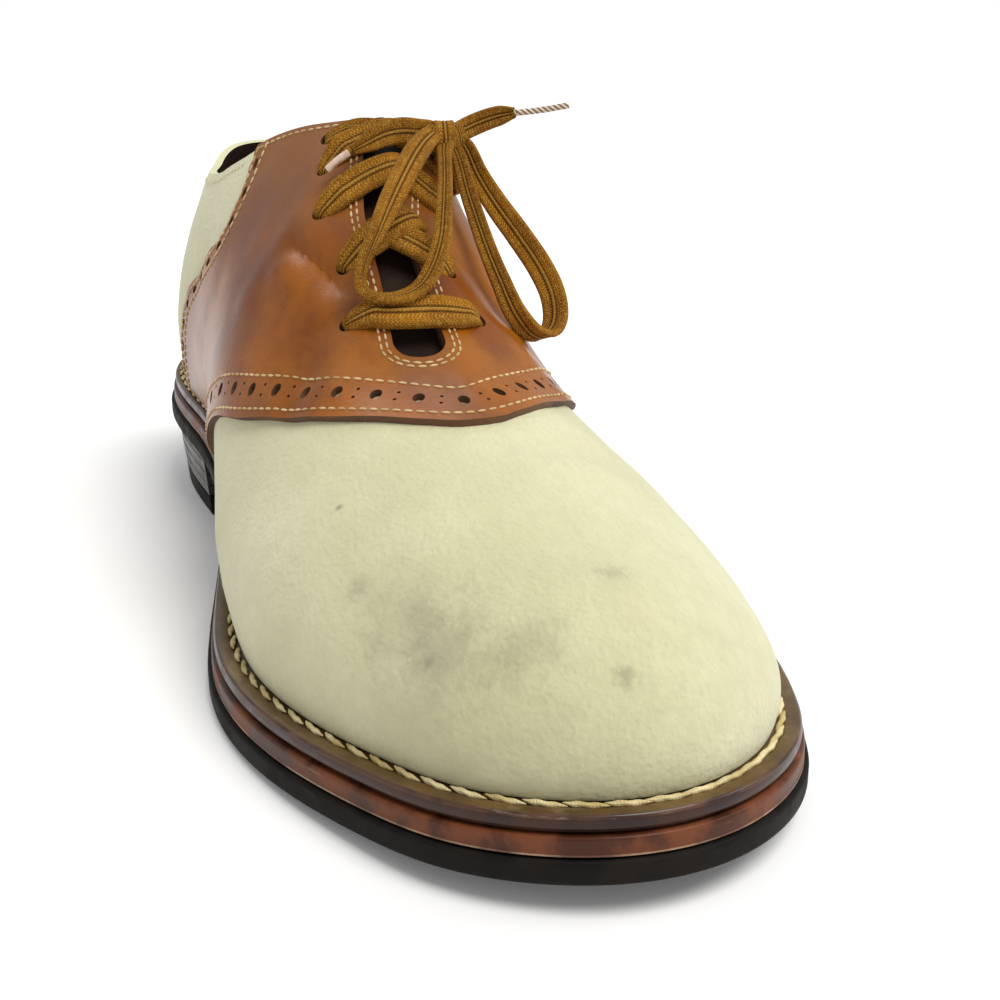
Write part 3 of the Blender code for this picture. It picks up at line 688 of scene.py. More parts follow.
RIDGE = {
    "share": (0, .12, .22, .30, .36, .407, .45, .50, .54, .58, .62, .66, .70, .75, .82, .885, 1),
    "rise": (1.062, 1.062, 1.062, 1.044, 1.028, 1.006, .967, .905, .830, .749,
             .664, .599, .560, .512, .444, .376, .376),
    "shift": (.02, .02, .03, .05, .07, .073, .053, .020, -.005, -.020,
              -.029, -.029, -.020, -.010, 0, 0, 0),
    "full_medial": (1.35, 1.35, 1.70, 1.85, 1.95, 2.0, 2.05, 2.05, 2.05, 2.05,
                    2.1, 2.2, 2.25, 2.3, 2.3, 2.25, 2.2),
    "full_lateral": (1.35, 1.35, 1.65, 1.75, 1.80, 1.78, 1.73, 1.63, 1.56, 1.55,
                     1.61, 1.68, 1.69, 1.66, 1.72, 1.95, 2.15),
    "belly_medial": (.12, .12, .12, .13, .15, .16, .17, .16, .15, .13,
                     .09, .06, .045, .04, .04, .05, .05),
    "belly_lateral": (.12, .12, .08, .05, .04, .03, .03, .02, .02, .02,
                      .02, .02, .02, .02, .03, .05, .05),
}
REACH = {"share": (0, .12, .30, .45, .58, 1), "reach": (.80, .66, .60, .72, 1, 1)}
TOPLINE = {
    "share": (-.10, .0135, .064, .104, .148, .199, .232, .263, .293, .323, .355, .388, .42, .47),
    "height": (.77, .768, .730, .692, .676, .681, .697, .725, .757, .797, .838, .868, .888, .93),
}
SADDLE_FRONT = {
    "up": (0, .26, .40, .58, .75, .87, .95, 1),
    "share": (.405, .508, .578, .648, .700, .729, .741, .743),
}
SADDLE_REAR = {
    "up": (0, .25, .29, .34, .40, .47, .55, .62, .70, 1),
    "share": (.185, .250, .284, .308, .338, .340, .328, .318, .312, .30),
}
THROAT = {
    "share": (.35, .40, .44, .48, .53, .58, .632),
    "centre": (.115, .095, .058, .010, -.034, -.043, -.060),
    "half": (.068, .064, .058, .050, .045, .050, .057),
}
EYELETS = {
    "share_medial": (.599, .549, .497, .457, .424),
    "share_lateral": (.603, .562, .497, .457, .424),
    "out_medial": (.131, .104, .143, .143, .143),
    "out_lateral": (.147, .112, .143, .143, .143),
}
EYELET_PAIRS = len(EYELETS["share_medial"])
LACE_SAG = 3.0 * MM
TONGUE_ENDS = (.405, .668)
TONGUE_SPREAD = 5 / 11
AXIS_Y = WELT_REACH * (REACH["reach"][-1] - REACH["reach"][0]) / 2
print("sole layers together", round(SOLE * 1000, 1), "mm")

# %% The last's surface
def turn_of(share):
    """The angle round the outline of a share of the length: 0 at the heel, pi at the toe."""
    return acos(max(-1.0, min(1.0, 1 - 2 * share)))


def share_of(turn):
    return (1 - cos(turn)) / 2


half_medial = round_curve([turn_of(s) for s in FEATHER["share"]], FEATHER["medial"])
half_lateral = round_curve([turn_of(s) for s in FEATHER["share"]], FEATHER["lateral"])
ridge_rise = round_curve(RIDGE["share"], RIDGE["rise"])
ridge_shift, full_medial, full_lateral, belly_medial, belly_lateral = (
    curve_through(RIDGE["share"], RIDGE[key])
    for key in ("shift", "full_medial", "full_lateral", "belly_medial", "belly_lateral")
)
reach_at = curve_through(REACH["share"], REACH["reach"])
topline_at = curve_through(TOPLINE["share"], TOPLINE["height"])
saddle_front = curve_through(SADDLE_FRONT["up"], SADDLE_FRONT["share"])
saddle_rear = curve_through(SADDLE_REAR["up"], SADDLE_REAR["share"])
throat_centre = curve_through(THROAT["share"], THROAT["centre"])
throat_half = curve_through(THROAT["share"], THROAT["half"])


def tread(share):
    """Height of the outsole's underside: the heel seat, the shank, the flat tread and the toe spring."""
    down = ease((share - HEEL_SEAT_END) / (SHANK_END - HEEL_SEAT_END))
    spring = max(0.0, (share - SPRING_START) / (1 - SPRING_START))
    return HEEL_HEIGHT * (1 - down) + TOE_SPRING * spring ** 1.8


def y_of(share):
    return (0.5 - share) * LAST_LENGTH + AXIS_Y


def share_at(y):
    return 0.5 - (y - AXIS_Y) / LAST_LENGTH


def feather_height(y):
    """Where the feather edge lies, on top of the sole."""
    return tread(share_at(y)) + SOLE + GAP


def topline_height(share):
    return HEEL_HEIGHT + SOLE + topline_at(share) * INSTEP_RISE


def hand_of(angle):
    """The turn from the heel and the side, for an angle all the way round the outline."""
    return (angle, 1) if angle <= pi else (2 * pi - angle, -1)


def plan_point(turn, side, reach=0.0):
    """A point of the feather edge, moved out by reach along its own normal."""
    half = half_medial if side < 0 else half_lateral

    def at(angle):
        angle = min(max(angle, 0.0), pi)
        return side * half(angle) * BALL_WIDTH, y_of(share_of(angle))

    x, y = at(turn)
    if not reach:
        return x, y
    if sin(turn) < 1e-6:
        return 0.0, y + (reach if turn < 1 else -reach)
    ahead = at(turn + 0.01)
    behind = at(turn - 0.01)
    along = Vector((ahead[0] - behind[0], ahead[1] - behind[1])).normalized()
    return x - side * along.y * reach, y + side * along.x * reach


MEDIAL_REACH, LATERAL_REACH = (
    max(abs(plan_point(turn, side, WELT_REACH)[0]) for turn in np.linspace(1, 2.6, 60)) for side in (-1, 1)
)
AXIS_X = (MEDIAL_REACH - LATERAL_REACH) / 2


def soft_end(distance, reach):
    return (distance ** RIDGE_TURN + reach ** RIDGE_TURN) ** (1 / RIDGE_TURN) - distance


def skin_point(turn, up, side):
    """A point of the last: up is 0 at the feather edge and 1 on the ridge."""
    x0, y0 = plan_point(turn, side)
    z0 = feather_height(y0)
    y1 = y0 + soft_end(y0 - y_of(1), TOE_RIDGE) - soft_end(y_of(0) - y0, HEEL_RIDGE)
    share = share_at(y1)
    x1 = ridge_shift(share) * BALL_WIDTH
    z1 = tread(share) + SOLE + GAP + ridge_rise(share) * INSTEP_RISE
    apart = ease(sin(turn) / 0.5) * side
    full = (full_medial(share) + full_lateral(share)) / 2
    full += apart * (full_lateral(share) - full_medial(share)) / 2
    belly = (belly_medial(share) + belly_lateral(share)) / 2
    belly += apart * (belly_lateral(share) - belly_medial(share)) / 2
    angle = up * pi / 2
    rise = sin(angle) ** (2 / full)
    out = max(cos(angle), 0.0) ** (2 / full)
    out += belly * rise * (1 - rise) ** 2 / BELLY_PEAK
    return Vector((x1 + (x0 - x1) * out + AXIS_X, y1 + (y0 - y1) * out, z0 + (z1 - z0) * rise))


print("last is", round((y_of(0) - y_of(1)) / MM), "mm long, its axis is at x =", round(AXIS_X / MM, 2), "mm")

# %% [markdown]
# ## Creases and hollows
# Leather that has been worn holds shallow troughs where it bends, and soft ridges beside them. Each
# is a line on the last with a depth and a width. A slow noise adds the unevenness of a skin that was
# pulled over a form by hand. The upper and the saddle take the same relief, so they stay together.

# %% Relief of the leather
# Places as (share of length, up, side), then depth and width in millimetres; a ridge is positive
CREASES = [
    (((.775, .98, 1), (.772, .86, 1), (.765, .74, 1), (.75, .62, 1)), -0.45, 4.0),
    (((.800, .99, 1), (.800, .86, 1), (.795, .72, 1), (.785, .58, 1)), 0.35, 5.0),
    (((.822, .90, 1), (.825, .78, 1), (.82, .64, 1), (.81, .50, 1)), -0.40, 4.0),
    (((.785, .98, -1), (.783, .88, -1), (.775, .76, -1), (.76, .64, -1)), -0.35, 4.5),
    (((.765, .66, -1), (.735, .52, -1), (.70, .42, -1)), -0.45, 5.0),
    (((.845, .72, 1), (.85, .60, 1), (.845, .46, 1)), -0.30, 3.5),
    (((.46, .86, -1), (.47, .74, -1), (.48, .60, -1), (.48, .46, -1)), 0.7, 6.0),
    (((.50, .86, 1), (.53, .76, 1), (.56, .66, 1)), -0.8, 5.0),
    (((.585, .84, 1), (.60, .74, 1), (.61, .62, 1)), 0.7, 5.0),
    (((.40, .74, 1), (.43, .62, 1), (.45, .48, 1), (.46, .34, 1)), -0.8, 7.0),
    (((.64, .90, -1), (.635, .78, -1), (.62, .66, -1)), -0.4, 4.0),
    (((.10, .55, 1), (.13, .45, 1), (.16, .35, 1)), -0.5, 5.0),
    (((.10, .55, -1), (.13, .45, -1), (.16, .35, -1)), -0.5, 5.0),
    (((.21, .50, 1), (.25, .38, 1), (.27, .26, 1)), -0.6, 6.0),
    (((.21, .52, -1), (.25, .40, -1), (.28, .28, -1)), -0.7, 6.0),
]

# The same, but with places in millimetres, for the folds beside the throat
FOLDS = [
    (((-23.5, 2, 88.5), (-21.4, -5.3, 86.7), (-18.8, -14.7, 83.8), (-17.5, -19, 82)), -1.8, 2.3),
    (((-17.0, 1, 92), (-15.5, -6, 90), (-14.5, -11, 87.5)), 0.9, 3.6),
    (((-27, -2, 83), (-25, -12, 80), (-23, -20, 77)), 1.3, 4.0),
    (((-21.3, -13.9, 82.4), (-25, -22, 76), (-28.1, -29.9, 68.9), (-33, -38, 58)), -1.1, 5.5),
    (((-14, -20, 83.5), (-15, -28, 77), (-19, -38, 68)), 0.6, 4.5),
    (((20, -14, 84), (25, -22, 75), (30, -34, 64)), -0.9, 4.5),
    (((14, -22, 81), (20, -32, 71), (26, -44, 60)), 0.7, 4.5),
]

# Height and scale of the slow unevenness
UNEVEN = ((0.30 * MM, 38), (0.14 * MM, 95))
CLEAR_OF_SOLE = 8 * MM

corners = [([skin_point(turn_of(share), up, side) for share, up, side in places], depth, width)
           for places, depth, width in CREASES]
corners += [(in_metres(places), depth, width) for places, depth, width in FOLDS]
CREASE_LINES = [(run_of(smooth_route(places, 2 * MM))[0], depth * MM, width * MM)
                for places, depth, width in corners]


def relief(spots):
    """How far out the leather stands at each of an array of points."""
    rise = np.zeros(len(spots))
    for line, depth, width in CREASE_LINES:
        near = np.full(len(spots), np.inf)
        for point in line:
            near = np.minimum(near, np.linalg.norm(spots - point, axis=1))
        rise += depth * np.exp(-(near / width) ** 2)
    for i, spot in enumerate(spots):
        rise[i] += sum(height * noise.noise(Vector(spot) * scale) for height, scale in UNEVEN)
    return rise


def worn(bm):
    """Moves an open skin by the relief, along its own normals, and turns it to face outwards."""
    bmesh.ops.remove_doubles(bm, verts=bm.verts, dist=1e-5)
    bmesh.ops.recalc_face_normals(bm, faces=bm.faces)
    middle = Vector((AXIS_X, 0, INSTEP_RISE / 2))
    if sum((face.calc_center_median() - middle).dot(face.normal) for face in bm.faces) < 0:
        bmesh.ops.reverse_faces(bm, faces=bm.faces)
    bm.normal_update()
    rises = relief(np.array([list(vertex.co) for vertex in bm.verts]))
    for vertex, rise in zip(bm.verts, rises):
        clear = ease((vertex.co.z - tread(share_at(vertex.co.y)) - SOLE - GAP) / CLEAR_OF_SOLE)
        vertex.co += vertex.normal * float(rise) * clear
    bm.normal_update()
    return bm


def dome_place(u, v):
    turn, side = hand_of(2 * pi * u)
    return skin_point(turn, v, side)


skin = worn(mapped_grid(248, 46, dome_place))
tree_of_skin = BVHTree.FromBMesh(skin)
print("skin of", len(skin.faces), "faces with", len(CREASE_LINES), "creases")

# %% [markdown]
# ## Lines on the skin
# Seams, holes and laces are all laid on the leather. One helper drops a plan point on to the skin,
# one finds the nearest place of it, and one carries a border inwards by a distance.

# %% Laying points on the skin
def over(x, y, lift):
    """The point over (x, y) at a distance from the skin, and the skin's normal there."""
    point, normal, _, _ = tree_of_skin.ray_cast(Vector((x, y, 3 * INSTEP_RISE)), Vector((0, 0, -1)))
    return point + normal * lift, normal


def seat(point, lift=0.0):
    spot, normal, _, _ = tree_of_skin.find_nearest(point)
    return spot + normal * lift, normal


def border_line(border, low=0.0, shift=0.0):
    """A saddle border from one feather edge over the ridge to the other."""
    ups = np.linspace(low, 1, 60)
    line = [skin_point(turn_of(border(up) + shift), up, -1) for up in ups]
    line += [skin_point(turn_of(border(up) + shift), up, 1) for up in reversed(ups[:-1])]
    return even(line, 1.5 * MM)


def carried_in(line, distances, towards):
    """A line moved sideways over the skin, by a distance or by a table of them over its length."""
    distance_at = curve_through(*distances) if isinstance(distances, tuple) else None
    moved = []
    for i, point in enumerate(line):
        distance = distance_at(i / (len(line) - 1)) if distance_at else distances
        along = (line[min(i + 2, len(line) - 1)] - line[max(i - 2, 0)]).normalized()
        spot, normal = seat(point)
        aside = normal.cross(along).normalized()
        if aside.dot(towards) < 0:
            aside.negate()
        moved.append(seat(spot + aside * distance)[0])
    return even([seat(point)[0] for point in smoothed(moved, 25)], 1.0 * MM)


def walk(line, pitch, offset=0.0):
    """Places a pitch apart along a line, with the direction of the line there."""
    _, run = run_of(line)
    made = []
    for at in np.arange(offset, run[-1], pitch):
        i, _ = cell_of(run, at)
        along = line[i + 1] - line[i]
        made.append((line[i] + along * (at - run[i]) / (run[i + 1] - run[i]), along.normalized()))
    return made


def lying(point, along, normal):
    """A frame at a point: X along the seam and Z out of the skin."""
    along = (along - normal * along.dot(normal)).normalized()
    return Matrix.Translation(point) @ Matrix((along, normal.cross(along), normal)).transposed().to_4x4()


TO_HEEL = Vector((0, 1, 0))
TO_TOE = Vector((0, -1, 0))
front_edge = border_line(saddle_front)
rear_edge = border_line(saddle_rear)
print("saddle's edges", [round(run_length(edge) * 1000) for edge in (front_edge, rear_edge)], "mm")

# %% [markdown]
# ## Leather finishes
# The cream leather is nubuck: its grain side is sanded to a short nap, so it is matt, a little cloudy
# and marked by fine lines where the nap lies over. Low down on the forepart, towards the welt and
# most at the toe, it is darker, partly from dirt and partly as painted shade. A few grey smudges and
# nicks sit where they do on the real shoe.

# %% Cream nubuck
# Place, reach and raggedness in millimetres, then how strongly the mark shows
MARKS = [
    ((-33.5, -109.8, 39.4), 17, 26, 0.32), ((-30.0, -120.7, 37.8), 15, 24, 0.38),
    ((-19.2, -130.8, 40.9), 11, 18, 0.30), ((-36.4, -121.3, 27.3), 22, 26, 0.20),
    ((-6.2, -141.8, 38.2), 3.2, 6, 0.55), ((0.0, -123.2, 48.7), 4.5, 9, 0.35),
    ((-8.0, -142.0, 22.0), 26, 24, 0.26), ((14.0, -134.0, 30.0), 22, 24, 0.18),
    ((-24.0, -134.0, 24.0), 20, 22, 0.18), ((-35.6, -75.5, 49.9), 1.4, 1, 0.85),
    ((-38.0, -95.9, 41.1), 4.0, 5, 0.40), ((-32.6, -119.9, 35.4), 1.8, 1.5, 0.6),
    ((-52.0, 60.0, 40.0), 22, 18, 0.20), ((36.0, 112.0, 60.0), 18, 16, 0.22),
    ((4.0, 148.0, 48.0), 16, 14, 0.25),
]
finish = nubuck = Finish("cream nubuck", 0.9, Sheen_Weight=0.3, Sheen_Roughness=0.6)
colour, clouds = finish.clouded(rgb(0.575, 0.550, 0.315), rgb(0.665, 0.645, 0.400),
                                Scale=26.0, Low=0.3, High=0.7)
flecks = finish.use(mottling, Scale=210.0, Low=0.35, High=0.7)["Mask"]
hairs = finish.use(nap, Scale=700.0)["Height"]
colour = finish.stain(colour, flecks, 0.22, rgb(0.50, 0.47, 0.27))
colour = finish.tint(finish.stretch(hairs, 0.60, 0.40, 0.0, 0.09), colour, rgb(0.40, 0.37, 0.20))
for place, reach, ragged, strength in MARKS:
    mark = finish.use(smudge, Place=Vector(place) * MM, Reach=reach * MM, Ragged=ragged * MM,
                      Scale=150.0 if reach > 5 else 700.0)
    colour = finish.stain(colour, mark["Mask"], strength, rgb(0.24, 0.22, 0.13))
# Darker low down on the forepart, towards the welt and most at the toe: partly dirt and partly painted shade
low_down = finish.stretch(finish.axis("Object", "Z"), 0.034, 0.012, 0.0, 0.4)
grime_and_low_shade = finish.times(low_down, finish.stretch(clouds, 0.0, 1.0, 1.0, 0.35))
finish.paint(finish.tint(grime_and_low_shade, colour, rgb(0.36, 0.32, 0.17)))
first = finish.bump(hairs, 0.00016, 0.6)
finish.bump(finish.use(grain, Scale=880.0)["Height"], 0.00034, 0.7, under=first)

# %% [markdown]
# The saddle is smooth calf, waxed and polished. Its colour runs in soft streaks with darker specks,
# and it is paler and pinker towards the top, partly from wear over the instep and partly as a painted
# highlight. Its cut edges show the brown fibres of the leather.

# %% Saddle leather, cut edge and lining
finish = calf = Finish("tan saddle leather", 0.36, Specular_IOR_Level=0.2, Coat_Weight=0.16,
                       Coat_Roughness=0.2)
colour, _ = finish.clouded(rgb(0.150, 0.033, 0.001), rgb(0.345, 0.102, 0.003),
                           Scale=42.0, Run=(1.0, 0.5, 0.28), Low=0.35, High=0.68)
clouds = finish.use(mottling, Scale=30.0, Low=0.42, High=0.72)["Mask"]
specks = finish.use(mottling, Scale=320.0, Low=0.5, High=0.75)["Mask"]
colour = finish.stain(colour, clouds, 0.35, rgb(0.35, 0.145, 0.030))
colour = finish.stain(colour, specks, 0.25, rgb(0.12, 0.035, 0.004))
# Paler and pinker towards the top of the saddle, by height alone: partly wear over the instep and partly a
# painted highlight
top_highlight_and_wear = finish.stretch(finish.axis("Object", "Z"), 0.080, 0.108, 0.0, 0.5)
finish.paint(finish.tint(top_highlight_and_wear, colour, rgb(0.28, 0.115, 0.038)))
finish.feed(finish.shader["Roughness"], finish.stretch(clouds, 0.0, 1.0, 0.30, 0.44))
finish.bump(finish.use(grain, Scale=1100.0)["Height"], 0.00009, 0.6)


def plain_leather(name, dark, light, roughness, depth, scale=500.0, **uniform):
    """A leather with clouded colour and a fine grain, for parts that show little."""
    finish = Finish(name, roughness, **uniform)
    finish.paint(finish.clouded(dark, light, Scale=55.0)[0])
    finish.bump(finish.use(grain, Scale=scale)["Height"], depth, 0.6)
    return finish


cut_edge = plain_leather("cut edge of the saddle", rgb(0.055, 0.022, 0.009), rgb(0.13, 0.055, 0.022),
                         0.7, 0.00025, 900.0)
lining = plain_leather("dark lining", rgb(0.030, 0.016, 0.010), rgb(0.055, 0.030, 0.018), 0.65, 0.0001)
# The tongue's brown leather is coloured almost black: painted shade for the dark gap under the throat
tongue_leather_with_painted_shade = plain_leather("brown tongue", rgb(0.012, 0.006, 0.004), rgb(0.030, 0.013, 0.007),
                               0.7, 0.00012, Specular_IOR_Level=0.15)
sock = plain_leather("tan insole leather", rgb(0.20, 0.105, 0.048), rgb(0.30, 0.165, 0.080), 0.55, 0.0001)
print("finishes", len(bpy.data.materials))

# %% [markdown]
# ## Cutting leather
# The collar, the throat, the eyelets and the small holes are cut out of finished shells, as a maker
# cuts and punches them. A boolean gives the new rim the cutter's own material, which is the raw edge.

# %% Shells and cutters
def thicken(bm, inner, outer, inner_slot, rim_slot):
    """Turns an open skin into a shell between two distances from it."""
    pushes = {}
    for vertex in bm.verts:
        push = vertex.normal.copy()
        if vertex.co.z < feather_height(vertex.co.y) + 1e-5:
            push.z = 0
            push.normalize()
        pushes[vertex] = push
    copy = bmesh.ops.duplicate(bm, geom=list(bm.verts) + list(bm.edges) + list(bm.faces))
    for vertex, push in pushes.items():
        copy["vert_map"][vertex].co += push * inner
        vertex.co += push * outer
    inner_faces = [g for g in copy["geom"] if isinstance(g, bmesh.types.BMFace)]
    bmesh.ops.reverse_faces(bm, faces=inner_faces)
    for face in inner_faces:
        face.material_index = inner_slot
    rim = bmesh.ops.bridge_loops(bm, edges=[edge for edge in bm.edges if edge.is_boundary])
    for face in rim["faces"]:
        face.material_index = rim_slot
    return bm


def cutter(name, bm, finish):
    bmesh.ops.recalc_face_normals(bm, faces=bm.faces)
    made = placed(name, mesh_of(name, bm))
    made.data.materials.append(finish.material)
    return made


def prism(name, points, direction, finish):
    """A closed outline pushed along a direction."""
    bm = bmesh.new()
    face = bm.faces.new([bm.verts.new(p) for p in points])
    grown = bmesh.ops.extrude_face_region(bm, geom=[face])["geom"]
    bmesh.ops.translate(bm, vec=direction, verts=[g for g in grown if isinstance(g, bmesh.types.BMVert)])
    return cutter(name, bm, finish)


def carve(piece, *cutters):
    """Cuts a piece and keeps the result as its own mesh."""
    for tool in cutters:
        step = piece.modifiers.new(tool.name, "BOOLEAN")
        step.operation = "DIFFERENCE"
        step.solver = "EXACT"
        step.material_mode = "TRANSFER"
        step.object = tool
    bpy.context.view_layer.update()
    graph = bpy.context.evaluated_depsgraph_get()
    mesh = bpy.data.meshes.new_from_object(piece.evaluated_get(graph))
    piece.modifiers.clear()
    piece.data = mesh
    shade(mesh, 40)
    print(piece.name, "cut to", len(mesh.polygons), "faces")


def collar_cutter(finish):
    """Everything over the topline, as a side profile."""
    points = [(-BALL_WIDTH, y_of(share), topline_height(share))
              for share in np.linspace(TOPLINE["share"][0], TOPLINE["share"][-1], 90)]
    roof = HEEL_HEIGHT + SOLE + 1.5 * INSTEP_RISE
    points += [(-BALL_WIDTH, points[-1][1], roof), (-BALL_WIDTH, points[0][1], roof)]
    return prism("collar cutter", points, (2 * BALL_WIDTH, 0, 0), finish)


def throat_outline(extra=0.0, first=THROAT["share"][0]):
    """The throat's U in plan, from the medial top round its foot to the lateral top."""
    shares = np.linspace(first, THROAT["share"][-1], 40)

    def edge(share, side):
        x = (throat_centre(share) + side * throat_half(share)) * BALL_WIDTH + AXIS_X
        return x + side * extra, y_of(share)

    x, y = throat_centre(shares[-1]) * BALL_WIDTH + AXIS_X, y_of(shares[-1])
    radius = throat_half(shares[-1]) * BALL_WIDTH + extra
    foot = [(x + radius * cos(angle), y + radius * sin(angle)) for angle in np.linspace(pi, 2 * pi, 21)[1:-1]]
    return [edge(share, -1) for share in shares] + foot + [edge(share, 1) for share in reversed(shares)]


def throat_cutter(finish):
    base = SOLE + 0.3 * INSTEP_RISE
    return prism("throat cutter", [(x, y, base) for x, y in throat_outline()], (0, 0, 2 * INSTEP_RISE), finish)


def eyelet_plan(index, side):
    hand = "medial" if side < 0 else "lateral"
    share = EYELETS["share_" + hand][index]
    out = side * EYELETS["out_" + hand][index]
    return (throat_centre(share) + out) * BALL_WIDTH + AXIS_X, y_of(share)


def punch(name, holes, depth, finish, segments=16):
    """Round or oval pins, one for each frame and pair of half widths."""
    bm = bmesh.new()
    for place, along, across in holes:
        shape = place @ Matrix.Diagonal((along, across, 1, 1))
        bmesh.ops.create_cone(bm, cap_ends=True, segments=segments, radius1=1, radius2=1, depth=depth,
                              matrix=shape)
    return cutter(name, bm, finish)


# %% [markdown]
# ## Upper
# The upper is one hollow skin: vamp and quarters with a 2 mm wall, open at the collar, the throat,
# the eyelets and underneath. It stays cream under the saddle, because the punched holes show it.

# %% Upper
EYELET_PIN = 12 * MM
eyelets = []
for index in range(EYELET_PAIRS):
    for side in (-1, 1):
        spot, normal = over(*eyelet_plan(index, side), 0)
        eyelets.append((lying(spot, Vector((1, 0, 0)), normal), EYELET / 2, EYELET / 2))
upper = settle(thicken(skin.copy(), -WALL, 0, 1, 0), "cream_upper", [nubuck, lining], ["upper"])
carve(upper, collar_cutter(nubuck), throat_cutter(cut_edge),
      punch("eyelet pins", eyelets, EYELET_PIN, cut_edge))

# %% [markdown]
# ## Saddle
# The saddle lies over the instep from one feather edge to the other. Its front edge runs in a low
# curve, and its rear edge is gimped, which means cut in small teeth. A line of large holes with two
# pinholes between them follows the front edge, and slots follow the rear one.

# %% Saddle
TEETH = 27
TOOTH = 1.0 * MM
HOLES_IN = ((0, 0.3, 0.5, 0.65, 1), (6.6 * MM, 6.8 * MM, 7.4 * MM, 6.2 * MM, 5.8 * MM))
SLOTS_IN = 3.4 * MM
HOLE_PITCH = 9.3 * MM
HOLE_START = 9 * MM
SLOT_PITCH = 8.0 * MM
SLOT_START = 10 * MM
HOLE_DEEP = 4.6 * MM
PINHOLE_DEEP = 3 * MM
PINHOLES_ASIDE = (-1.3, 1.3)
# Half widths along and across the row
HOLE = (1.3 * MM, 1.7 * MM)
SLOT = (1.7 * MM, 0.95 * MM)
PINHOLE = (0.42 * MM, 0.42 * MM)


def from_both_sides(v, spread=1):
    """The side and the height of a share that runs from one feather edge over the ridge to the other."""
    return -1 if v < 0.5 else 1, 1 - abs(2 * v - 1) * spread


def saddle_place(u, v):
    side, up = from_both_sides(v)
    first = saddle_rear(up)
    if u == 0:
        first += TOOTH / LAST_LENGTH * abs(2 * (up * TEETH % 1) - 1)
    return skin_point(turn_of(first) + (turn_of(saddle_front(up)) - turn_of(first)) * u, up, side)


saddle = settle(thicken(worn(mapped_grid(46, 330, saddle_place)), 0.1 * MM, SADDLE_TOP, 1, 1),
                "tan_saddle", [calf, cut_edge], ["saddle"])


def holes_along(line, pitch, offset, half_widths, asides=(0,)):
    """Places for a row of holes, or for rows beside each other."""
    made = []
    for place, along in walk(line, pitch, offset):
        spot, normal = seat(place, SADDLE_TOP)
        aside = normal.cross(along).normalized()
        made += [(lying(spot + aside * shift * MM, along, normal), *half_widths) for shift in asides]
    return made


hole_line = carried_in(front_edge, HOLES_IN, TO_HEEL)
slot_line = carried_in(rear_edge, SLOTS_IN, TO_TOE)
holes = holes_along(hole_line, HOLE_PITCH, HOLE_START, HOLE)
holes += holes_along(slot_line, SLOT_PITCH, SLOT_START, SLOT)
pins = holes_along(hole_line, HOLE_PITCH, HOLE_START - HOLE_PITCH / 2, PINHOLE, PINHOLES_ASIDE)
carve(saddle, collar_cutter(cut_edge), throat_cutter(cut_edge),
      punch("eyelet pins", eyelets, EYELET_PIN, cut_edge),
      punch("hole pins", holes, HOLE_DEEP, cut_edge), punch("small pins", pins, PINHOLE_DEEP, cut_edge, 8))
for made in list(whole_scene.objects):
    if "cutter" in made.name or "pins" in made.name:
        bpy.data.objects.remove(made)
print(len(holes), "holes and", len(pins), "pinholes")

# %% [markdown]
# ## Seams
# A seam is a row of short threads that sink into the leather at both ends. One small flattened
# ellipsoid is repeated along each line and joined to a single mesh.

# %% Stitches
STITCH = 2.5 * MM
# Length and thickness of a stitch
SADDLE_STITCH = (2.0 * MM, 0.62 * MM)
QUARTER_STITCH = (1.9 * MM, 0.5 * MM)
UNDER_TOPLINE = 2.4 * MM
CLEAR_OF_CUT = 0.6 * MM
CLEAR_OF_WELT = 1.5 * MM
ON_SADDLE = SADDLE_TOP + 0.08 * MM
ON_CREAM = 0.05 * MM
BAND = ((0, 0.3, 0.5, 0.65, 1), (9.6 * MM, 10.4 * MM, 12.6 * MM, 10.6 * MM, 9.6 * MM))


def strewn(name, seed, places):
    """Copies of a small bmesh at many frames, joined."""
    mesh = mesh_of(name, seed)
    whole = bmesh.new()
    for place in places:
        start = len(whole.verts)
        whole.from_mesh(mesh)
        whole.verts.ensure_lookup_table()
        bmesh.ops.transform(whole, matrix=place, verts=whole.verts[start:])
    bpy.data.meshes.remove(mesh)
    return whole


def stitch_seed(length, thick):
    seed = bmesh.new()
    seed.loops.layers.uv.new("surface")
    bmesh.ops.create_uvsphere(seed, u_segments=8, v_segments=6, radius=1,
                              matrix=Matrix.Rotation(pi / 2, 4, "Y"))
    bmesh.ops.scale(seed, vec=(length / 2, thick / 2, thick / 2), verts=seed.verts)
    return seed


def takes_stitch(spot):
    """True where the leather is clear of the sole and isn't cut away at the collar."""
    share = share_at(spot.y)
    under_collar = TOPLINE["share"][0] < share < TOPLINE["share"][-1]
    cut = under_collar and spot.z > topline_height(share) - CLEAR_OF_CUT
    return spot.z > tread(share) + SOLE + CLEAR_OF_WELT and not cut


def seam_places(line, lift, offset=0.0):
    made = []
    for place, along in walk(line, STITCH, offset):
        spot, normal = seat(place, lift)
        if takes_stitch(spot):
            made.append(lying(spot, along, normal))
    return made


def throat_row(extra):
    return even([over(x, y, 0)[0] for x, y in throat_outline(extra, 0.395)], 1 * MM)


def topline_row(low, high, side):
    """A line a little under the topline on one side of the shoe."""
    line = []
    for share in np.linspace(low, high, 60):
        origin = Vector((side * 2 * BALL_WIDTH, y_of(share), topline_height(share) - UNDER_TOPLINE))
        hit = tree_of_skin.ray_cast(origin, Vector((-side, 0, 0)))[0]
        if hit:
            line.append(hit)
    return even(line, 1 * MM)


